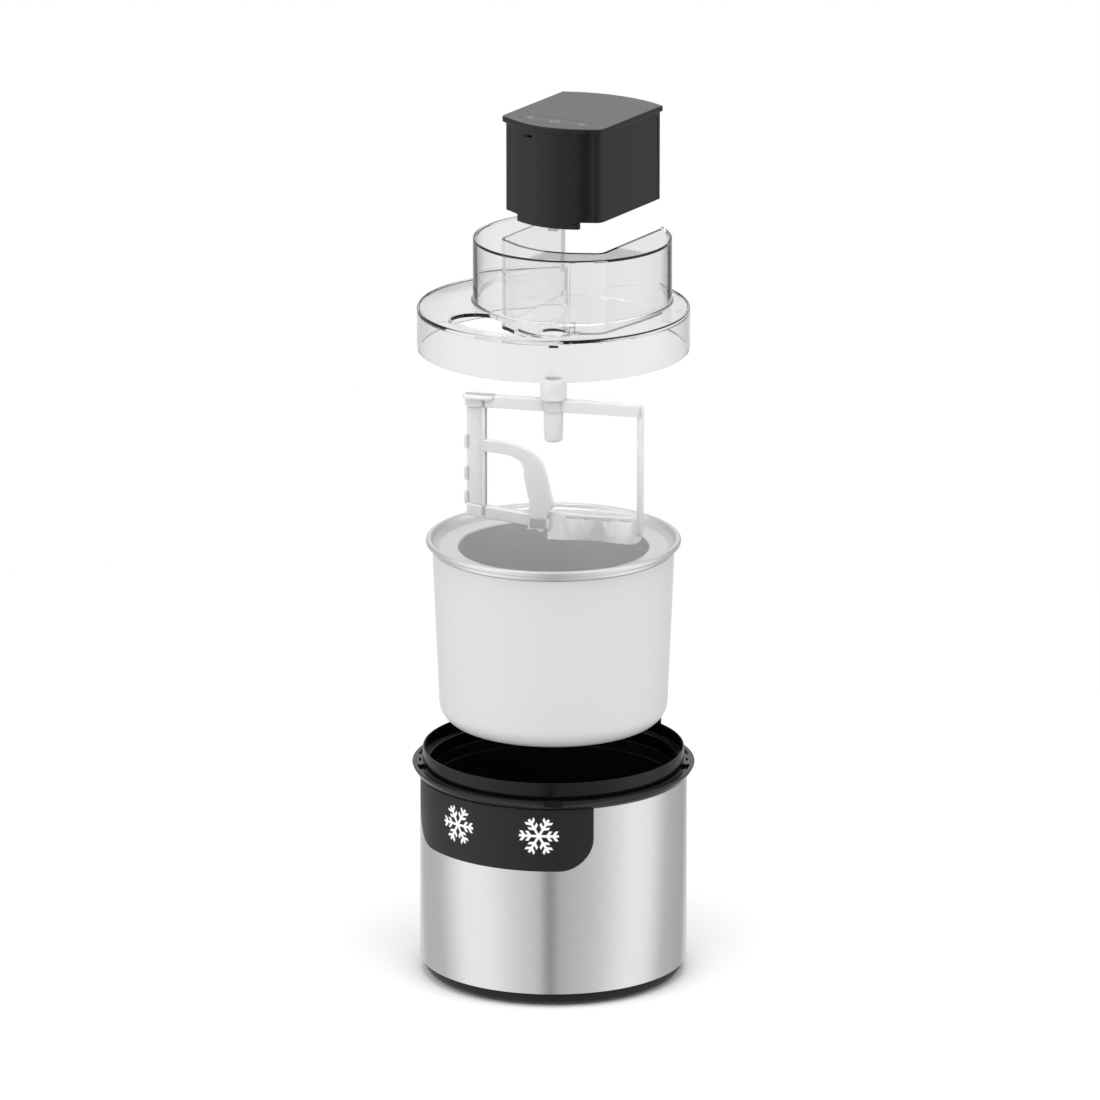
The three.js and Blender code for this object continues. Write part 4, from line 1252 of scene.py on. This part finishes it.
def pocket_outline(half: float, corner: float, shoulder: float, bulge: float, back: float = 130,
                   back_radius: float = 0) -> Points:
    """Plan of the motor unit or of its pocket: straight sides, round shoulders and a bowed front.

    Args:
        half: Half of the width, in millimetres.
        corner: Length of the shoulder's bend.
        shoulder: y where the side's line would meet the front.
        bulge: y of the front's middle.
        back: y of a straight back.
        back_radius: Radius of a round back about the axis, instead of a straight one.

    Returns:
        The outline's (x, y) points.
    """
    side = (half, shoulder + corner)
    brow = (half - corner, shoulder - corner * 0.25)
    right = [side, *bend(side, (half, shoulder), brow, 10), *bend(brow, (half * 0.4, bulge), (0, bulge), 14)]
    left = [(-x, y) for x, y in reversed(right[:-1])]
    if not back_radius:
        return [(half, back), *right, *left, (-half, back)]
    reach = math.degrees(math.acos(half / back_radius))
    return [*right, *left, *arc((0, 0), back_radius, 180 - reach, reach, 28)]


def case_outline(inset: float) -> Points:
    """Plan of the motor unit, drawn in by an inset in millimetres."""
    return pocket_outline(41.5 - inset, 6.2, -2.5 + inset, -15.7 + inset, back_radius=93.6 - inset)


def tongue_band(outset: float, bottom: float, top: float, half: float = 26.5, inset: float = 0.5,
                thickness: float = 2) -> Object:
    """Curved tongue along the front of the motor unit, grown by an outset to make the slot that takes it."""
    band = raised(case_outline(inset - outset), bottom, top)
    inner = raised(case_outline(inset + thickness + outset), bottom - 1, top + 1)
    work(band, [inner])
    reach = half + outset
    return work(band, [block((-reach, -40, bottom - 2), (reach, 0, top + 2))], Solver.KEEP)


@dataclass
class Lid(Assembly):
    """Clear lid: skirt, disc, drum round the motor unit's pocket, fill opening and lock mark."""

    radius: float = 101
    wall: float = 2.2
    skirt_bottom: float = 146.8
    disc_top: float = 178
    disc: float = 2.5
    drum_radius: float = 73.8
    drum_back: float = 27.2
    drum_top: float = 225.3
    pocket_floor: float = 158.5
    pocket_half: float = 42.4
    rear_radius: float = 95.2
    opening_turn: float = 25
    opening_radii: tuple[float, float] = (51.6, 88)

    def build(self) -> None:
        """Build the lid and its printed mark."""
        self.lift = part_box("lid")[1].z / MM - self.drum_top
        lid = self.outside()
        work(lid, [self.inside()])
        work(lid, self.cuts())
        finish_mesh(lid, 28)
        ease(lid, 0.3, 2, 50)
        self.place(lid, "lid_moulding", "lid_body", "clear_plastic", self.finishes.clear, "lid")
        self.mark()

    def outside(self) -> Object:
        """Everything before it is hollowed: skirt and disc with a raised rim, drum, opening's lip."""
        out, top = self.radius, self.disc_top
        body = turned([
            (0, self.skirt_bottom), (out - 0.5, self.skirt_bottom), (out, self.skirt_bottom + 0.5),
            (out, top - 1.4), *arc((out - 1.1, top - 0.5), 1.1, 0, 150, 7), (out - 2.6, top), (0, top),
        ], 256, self.lift)
        drum, crown = self.drum_radius, self.drum_top
        tower = turned([
            (0, top - 1), (drum + 1.6, top - 1), (drum + 1.6, top),
            *arc((drum + 1.6, top + 1.6), 1.6, -100, -180, 5), (drum, crown - 1.2),
            *arc((drum - 1.2, crown - 1.2), 1.2, 15, 90, 5), (drum - 2.9, crown), (drum - 3.3, crown - 0.7),
            (0, crown - 0.7),
        ], 224, self.lift, (0, self.drum_back))
        work(tower, [self.column(self.radius)], Solver.KEEP)
        return work(body, [tower, self.opening(1.5, top - 1, top + 1.3)], Solver.JOIN)

    def inside(self) -> Object:
        """What is hollow: inside of skirt and drum, less the pocket with its wall."""
        wall, top = self.wall, self.drum_top - self.wall
        inner, drum = self.radius - wall, self.drum_radius - wall
        ceiling = self.disc_top - self.disc
        skirt = [(0, 140), (inner, 140), (inner, ceiling - 0.8), (inner - 0.8, ceiling), (0, ceiling)]
        hollow = turned(skirt, 256, self.lift)
        profile = [(0, ceiling - 1), (drum, ceiling - 1), (drum, top), (0, top)]
        tower = turned(profile, 224, self.lift, (0, self.drum_back))
        work(tower, [self.column(inner)], Solver.KEEP)
        work(hollow, [tower], Solver.JOIN)
        return work(hollow, [self.pocket(wall, self.pocket_floor - wall, self.drum_top + 4)])

    def column(self, radius: float) -> Object:
        """A tall round bar about the axis, through the whole lid."""
        return rod(radius, 100 + self.lift, 300 + self.lift, (0, 0), 256)

    def pocket(self, grow: float, low: float, high: float) -> Object:
        """The motor unit's pocket, let out by grow, between two heights."""
        outline = pocket_outline(self.pocket_half + grow, 7 + grow, -3.4 - grow, -16.6 - grow)
        return raised(outline, low + self.lift, high + self.lift)

    def cuts(self) -> list[Object]:
        """The pocket, the gap for the rear wall, room for ring and ears, and the holes."""
        half, lift = self.pocket_half, self.lift
        pocket = self.pocket(0, self.pocket_floor, self.drum_top + 5)
        rear = turned([(self.rear_radius, 100), (130, 100), (130, 260), (self.rear_radius, 260)], 256, lift)
        work(rear, [block((-half, 60, 90 + lift), (half, 140, 270 + lift))], Solver.KEEP)
        collar = turned([(94.9, 140), (98.3, 140), (98.3, 160.4), (94.9, 160.4)], 256, lift)
        bush_hole = rod(10.6, 150 + lift, 170 + lift, (0, 0), 72)
        slot = tongue_band(0.5, 150 + lift, 170 + lift)
        nub_room = block((19.4, -12.2, 150 + lift), (25.2, -7.8, 170 + lift))
        opening = self.opening(0, self.disc_top - 6, self.disc_top + 6)
        return [pocket, rear, collar, *self.ear_rooms(), bush_hole, slot, nub_room, opening]

    def ear_rooms(self) -> list[Object]:
        """Room in the skirt for the ring's two ears."""
        rooms = []
        for angle in EAR_ANGLES:
            room = turned([(80, 140), (130, 140), (130, 148.9), (80, 148.9)], 256, self.lift)
            wedge = sector(angle, 8.2, 130 + self.lift, 160 + self.lift)
            rooms.append(work(room, [wedge], Solver.KEEP))
        return rooms

    def opening(self, grow: float, low: float, high: float) -> Object:
        """Curved slot with round ends, at the front of the disc.

        Args:
            grow: How far its outline is let out, in millimetres.
            low: Its underside.
            high: Its top.

        Returns:
            A solid to join or to cut with.
        """
        inner, outer = self.opening_radii
        middle, half = (inner + outer) / 2, (outer - inner) / 2 + grow
        first, last = -90 - self.opening_turn, -90 + self.opening_turn
        at = [(middle * math.cos(math.radians(a)), middle * math.sin(math.radians(a))) for a in (first, last)]
        outline = [
            *arc((0, 0), outer + grow, first, last, 24),
            *arc(at[1], half, last, last + 180, 20)[1:],
            *arc((0, 0), inner - grow, last, first, 20)[1:],
            *arc(at[0], half, first + 180, first + 360, 20)[1:-1],
        ]
        return raised(outline, low + self.lift, high + self.lift)

    def mark(self) -> None:
        """Short dark mark on the skirt's rim that lines up with the notch in the ring."""
        out, top = self.radius + 0.03, self.disc_top
        profile = [(out - 0.4, top - 4.6), (out + 0.1, top - 4.6), (out + 0.1, top - 3), (out - 0.4, top - 3)]
        mark = turned(profile, 256, self.lift)
        side = 3.4
        piece = block((90, -side, top - 9 + self.lift), (110, side, top + self.lift))
        work(mark, [turn(piece, LOCK_ANGLE)], Solver.KEEP)
        self.place(mark, "lid_lock_mark", "lid_body", "gloss_black", self.finishes.gloss_black)


@dataclass
class MotorUnit(Assembly):
    """Motor unit: case with its tongue, cover, touch panel, cord inlet, bottom plate and screws."""

    bottom: float = 158.9
    top: float = 225.3
    cover_top: float = 230.1
    wall: float = 2.2
    back_radius: float = 93.6
    posts: tuple[Point, ...] = ((-36, 10), (36, 10), (-36, 76), (36, 76))

    def build(self) -> None:
        """Build the motor unit, and dress the pieces inside it."""
        self.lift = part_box("top_cover")[1].z / MM - self.cover_top
        self.case()
        self.cover()
        self.touch()
        self.inlet()
        self.bottom_plate()
        self.screws()
        self.inside()

    def case(self) -> None:
        """Case: one shell with a tongue, four posts, a slot under the cover, and grooves by the rear edge."""
        low, high = self.bottom + self.lift, self.top + self.lift
        shell = raised(case_outline(0), low, high)
        grooves = [
            ease(block((x - 1.5, 79, low - 2), (x + 1.5, 81.2, high - 3)), 0.3) for x in (-42.6, 42.6)]
        work(shell, [*grooves, raised(case_outline(self.wall), low - 1, high + 1)])
        slot = block((-22, -20, high - 5.5), (-10, -11, high - 3.6))
        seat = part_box("cord_inlet")
        height = (seat[0].z + seat[1].z) / 2 / MM
        hole = pushed(arc((0, height), 4.3, 0, 345, 23), 80, 110)
        work(shell, [slot, hole])
        ease(finish_mesh(shell), 0.3, 2, 55)
        posts = [
            work(rod(3.8, low + 3.2, high - 4, at), [rod(1.8, low, low + 16, at)]) for at in self.posts]
        tongue = ease(tongue_band(0, low - 5.6, low + 0.6), 0.5, 3)
        nub = ease(block((20, -11.6, low - 4.4), (24.6, -8.4, low - 1.6)), 0.4)
        case = together(shell, *posts, tongue, nub)
        self.place(case, "motor_case_shell", "motor_unit", "gloss_black", self.finishes.case_black,
                   "motor_housing")

    def cover(self) -> None:
        """Cover with a round edge, a lip inside the case, and a bed for the touch panel."""
        low, high = self.top + 0.3 + self.lift, self.cover_top + self.lift
        cover = raised(case_outline(-2), low, high)
        ease(cover, 1.1, 4, 60)
        bed = raised(rounded_box(58.6, 14.6, 6.3, (0, 3.5)), high - 1, high + 4)
        work(cover, [bed])
        lip = raised(case_outline(self.wall + 0.3), low - 3.3, low + 0.4)
        work(lip, [raised(case_outline(self.wall + 2), low - 6, low + 3)])
        cover = together(finish_mesh(cover, 30), ease(lip, 0.3))
        self.place(cover, "motor_top_cover", "motor_unit", "gloss_black", self.finishes.case_black,
                   "top_cover")

    def touch(self) -> None:
        """Touch panel, flush with the cover."""
        high = self.cover_top + self.lift
        panel = ease(raised(rounded_box(58.2, 14.2, 6.1, (0, 3.5)), high - 0.95, high - 0.02), 0.15, 2, 60)
        self.place(panel, "touch_panel_glass", "motor_unit", "gloss_black", self.finishes.touch,
                   "touch_panel")

    def inlet(self) -> None:
        """Rubber gland in the rear face: a collar with ribs and a bore."""
        low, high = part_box("cord_inlet")
        height = (low.z + high.z) / 2 / MM
        back = self.back_radius
        profile = [
            (3.4, back - 5.4), (4, back - 5.4), (4, back + 0.35), (8, back + 0.35), (8, back + 2.4),
            (7.5, back + 2.7), (7.5, back + 3.5), (7.9, back + 3.8), (7.9, back + 5.6), (7.4, back + 5.9),
            (7.4, back + 6.6), (7, back + 7.8), (6, back + 8.5), (3.8, back + 8.5), (3.4, back + 8.1),
        ]
        gland = draw([Vector((radius, y, height)) * MM for radius, y in profile])
        bpy.ops.mesh.spin(steps=72, angle=2 * math.pi, center=(0, 0, height * MM), axis=(0, 1, 0))
        finish_mesh(gland)
        self.place(gland, "cord_gland", "motor_unit", "rubber", self.finishes.rubber, "cord_inlet")

    def bottom_plate(self) -> None:
        """Bottom plate with the bush's hole, the axle's boss and four sunk screw holes."""
        low = self.bottom + 0.4 + self.lift
        plate = ease(raised(case_outline(self.wall + 0.3), low, low + 2.4), 0.35, 2, 60)
        boss = rod(4.4, low + 1.9, low + 3.6, (0, 17))
        work(plate, [boss], Solver.JOIN)
        holes = [rod(7.4, low - 5, low + 9, (0, 0), 72), rod(2.35, low - 5, low + 9, (0, 17))]
        for at in self.posts:
            holes += [rod(1.9, low - 5, low + 9, at), rod(3.3, low - 5, low + 1.3, at)]
        finish_mesh(work(plate, holes))
        self.place(plate, "motor_bottom_plate", "motor_unit", "matte_black", self.finishes.matte_black,
                   "bottom_plate")

    def screws(self) -> None:
        """Case screws with a cross recess."""
        for number, at in enumerate(self.posts, 1):
            screw = cross_screw(at, self.bottom + 0.15 + self.lift, 3, 172 + self.lift)
            self.place(screw, f"case_screw_{number}_pan", "motor_unit", "plain_steel",
                       self.finishes.screw_steel, f"case_screw_{number}")

    def inside(self) -> None:
        """Dress what stays from the CAD inside the case."""
        made = self.finishes
        looks = {
            "output_bush": made.brass, "gear_plate": made.plate_steel, "motor_can": made.plate_steel,
            "motor_end_plate": made.plate_steel, "stator_coil": made.copper, "control_board": made.board,
            "power_board": made.board, "mains_capacitor": made.capacitor, "relay": made.relay,
            "interlock_switch": made.matte_black, "compound_axle": made.screw_steel,
            "rotor": made.screw_steel, "compound_gear": made.gear, "output_gear": made.gear,
        }
        for name, look in looks.items():
            dress_node(name, look)


# ------------------------------------------------------------------------------------ studio
@dataclass(frozen=True)
class Lamp:
    """An area light, placed by its direction from the camera's line of sight."""

    name: str
    turn: float
    height: float
    distance: float
    size: tuple[float, float]
    power: float


@dataclass
class Studio:
    """Pale floor, soft lights, a soft world and the camera.

    Panels are the world's soft light panels and the dark gaps between them, each as an angle round from the
    camera's side in degrees and a brightness.
    """

    azimuth: float = 31
    elevation: float = 16.2
    distance: float = 8
    lens: float = 352
    aim_height: float = 0.3255
    aside: float = 0.0026
    lamps: tuple[Lamp, ...] = (
        Lamp("key_left", -58, 0.9, 2.2, (0.9, 1.8), 7),
        Lamp("fill_right", 62, 0.8, 2.3, (0.7, 1.8), 4.5),
        Lamp("top_soft", 10, 2.6, 0.8, (1.6, 1.6), 26),
    )
    panels: tuple[Point, ...] = (
        (-180, 0.85), (-165, 0.8), (-150, 0.55), (-115, 0.6), (-85, 1.1), (-60, 1.1), (-30, 0.8),
        (-12, 0.7), (-5, 0.25), (-1, 0.25), (3, 0.55), (35, 0.7), (70, 1.1), (90, 1.05), (112, 0.6),
        (150, 0.45), (165, 0.8), (180, 0.85),
    )

    def build(self) -> None:
        """Build the whole studio."""
        self.world()
        self.floor()
        for lamp in self.lamps:
            self.light(lamp)
        self.camera()

    def world(self) -> None:
        """World: white for the camera, and soft panels with dark gaps for what mirrors it."""
        world = bpy.data.worlds.new("soft_studio")
        world.use_nodes = True
        world.node_tree.nodes.clear()
        graph = Graph(world.node_tree)
        way = graph.add("ShaderNodeTexCoord").outputs["Generated"]
        at = graph.add("ShaderNodeSeparateXYZ", {0: way})
        turn_off = math.radians(self.azimuth)
        angle = graph.math("ARCTAN2", at.outputs[0], graph.math("MULTIPLY", at.outputs[1], -1))
        seen = graph.math("WRAP", graph.math("SUBTRACT", angle, turn_off), math.pi, -math.pi)
        degrees = graph.math("MULTIPLY", seen, 180 / math.pi)
        ramp = graph.add("ShaderNodeValToRGB", {0: graph.math("MULTIPLY_ADD", degrees, 1 / 360, 0.5)})
        stops = ramp.color_ramp.elements
        for number, (azimuth, level) in enumerate(self.panels):
            stop = stops[number] if number < 2 else stops.new((azimuth + 180) / 360)
            stop.position = (azimuth + 180) / 360
            stop.color = (level / 2, level / 2, level / 2, 1)
        up = graph.span(at.outputs[2], 0.25, 0.95)
        around = graph.math("MULTIPLY", ramp.outputs[0], 2)
        total = graph.math("ADD", around, graph.math("MULTIPLY", up, 0.24))
        ray = graph.add("ShaderNodeLightPath")
        strength = graph.add(
            "ShaderNodeMix", {0: ray.outputs["Is Camera Ray"], 2: total, 3: 1.0}, data_type="FLOAT")
        back = graph.add("ShaderNodeBackground", {"Color": (1, 1, 1, 1), "Strength": strength.outputs[0]})
        graph.add("ShaderNodeOutputWorld", {"Surface": back.outputs[0]})
        bpy.context.scene.world = world

    def floor(self) -> None:
        """Pale floor that fades into the white beyond it."""
        clear_selection()
        bpy.ops.mesh.primitive_circle_add(vertices=96, radius=1.2, fill_type="NGON", location=(0, 0, 0))
        floor = bpy.context.active_object
        floor.name = "studio_floor"
        material = bpy.data.materials.new("pale_floor")
        material.use_nodes = True
        graph = Graph(material.node_tree)
        material.node_tree.nodes.clear()
        place = graph.add("ShaderNodeTexCoord").outputs["Object"]
        radius = graph.length(place)
        pale = graph.add("ShaderNodeBsdfDiffuse", {"Color": (0.94, 0.94, 0.94, 1)})
        clear = graph.add("ShaderNodeBsdfTransparent")
        fade = graph.add("ShaderNodeMixShader", {
            0: graph.span(radius, 0.35, 1.1), 1: pale.outputs[0], 2: clear.outputs[0]})
        graph.add("ShaderNodeOutputMaterial", {"Surface": fade.outputs[0]})
        floor.visible_glossy = False
        floor.data.materials.append(material)

    def direction(self, turn_by: float) -> Vector:
        """Level direction from the axis, turned from the camera's side, in degrees."""
        angle = math.radians(self.azimuth + turn_by)
        return Vector((math.sin(angle), -math.cos(angle), 0))

    def light(self, lamp: Lamp) -> None:
        """Place one area light, aimed at the row's middle."""
        clear_selection()
        place = self.direction(lamp.turn) * lamp.distance + Vector((0, 0, lamp.height))
        bpy.ops.object.light_add(type="AREA", location=place)
        light = bpy.context.active_object
        light.name = lamp.name
        light.data.shape = "RECTANGLE"
        light.data.size, light.data.size_y = lamp.size
        light.data.energy = lamp.power
        light.visible_glossy = False
        light.rotation_euler = (Vector((0, 0, self.aim_height)) - place).to_track_quat("-Z", "Y").to_euler()

    def camera(self) -> None:
        """Long-lens camera at the object's viewing angle."""
        rise = math.radians(self.elevation)
        back = self.direction(0) * math.cos(rise) + Vector((0, 0, math.sin(rise)))
        right = self.direction(90)
        aim = Vector((0, 0, self.aim_height)) - right * self.aside
        data = bpy.data.cameras.new("camera")
        camera = bpy.data.objects.new("camera", data)
        bpy.context.scene.collection.objects.link(camera)
        data.sensor_width = 36
        data.lens = self.lens
        data.clip_end = 60
        camera.location = aim + back * self.distance
        camera.rotation_euler = (-back).to_track_quat("-Z", "Y").to_euler()
        bpy.context.scene.camera = camera


def corners(box: tuple[Vector, Vector]) -> list[list[float]]:
    """Two corners of a box as plain lists."""
    return [list(corner) for corner in box]


def main() -> None:
    """Build the machine, then the studio."""
    logging.basicConfig(level=logging.INFO, format="%(message)s")
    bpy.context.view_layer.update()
    finishes = Finishes(Effects())
    for assembly in (Housing, Bowl, Paddle, Lid, MotorUnit):
        assembly(finishes).build()
    dress_node("coolant_gel", finishes.gel)
    dress_node("bowl_seal", finishes.rubber)
    Studio().build()
    bpy.context.scene.view_settings.view_transform = "Standard"


if __name__ == "__main__":
    main()
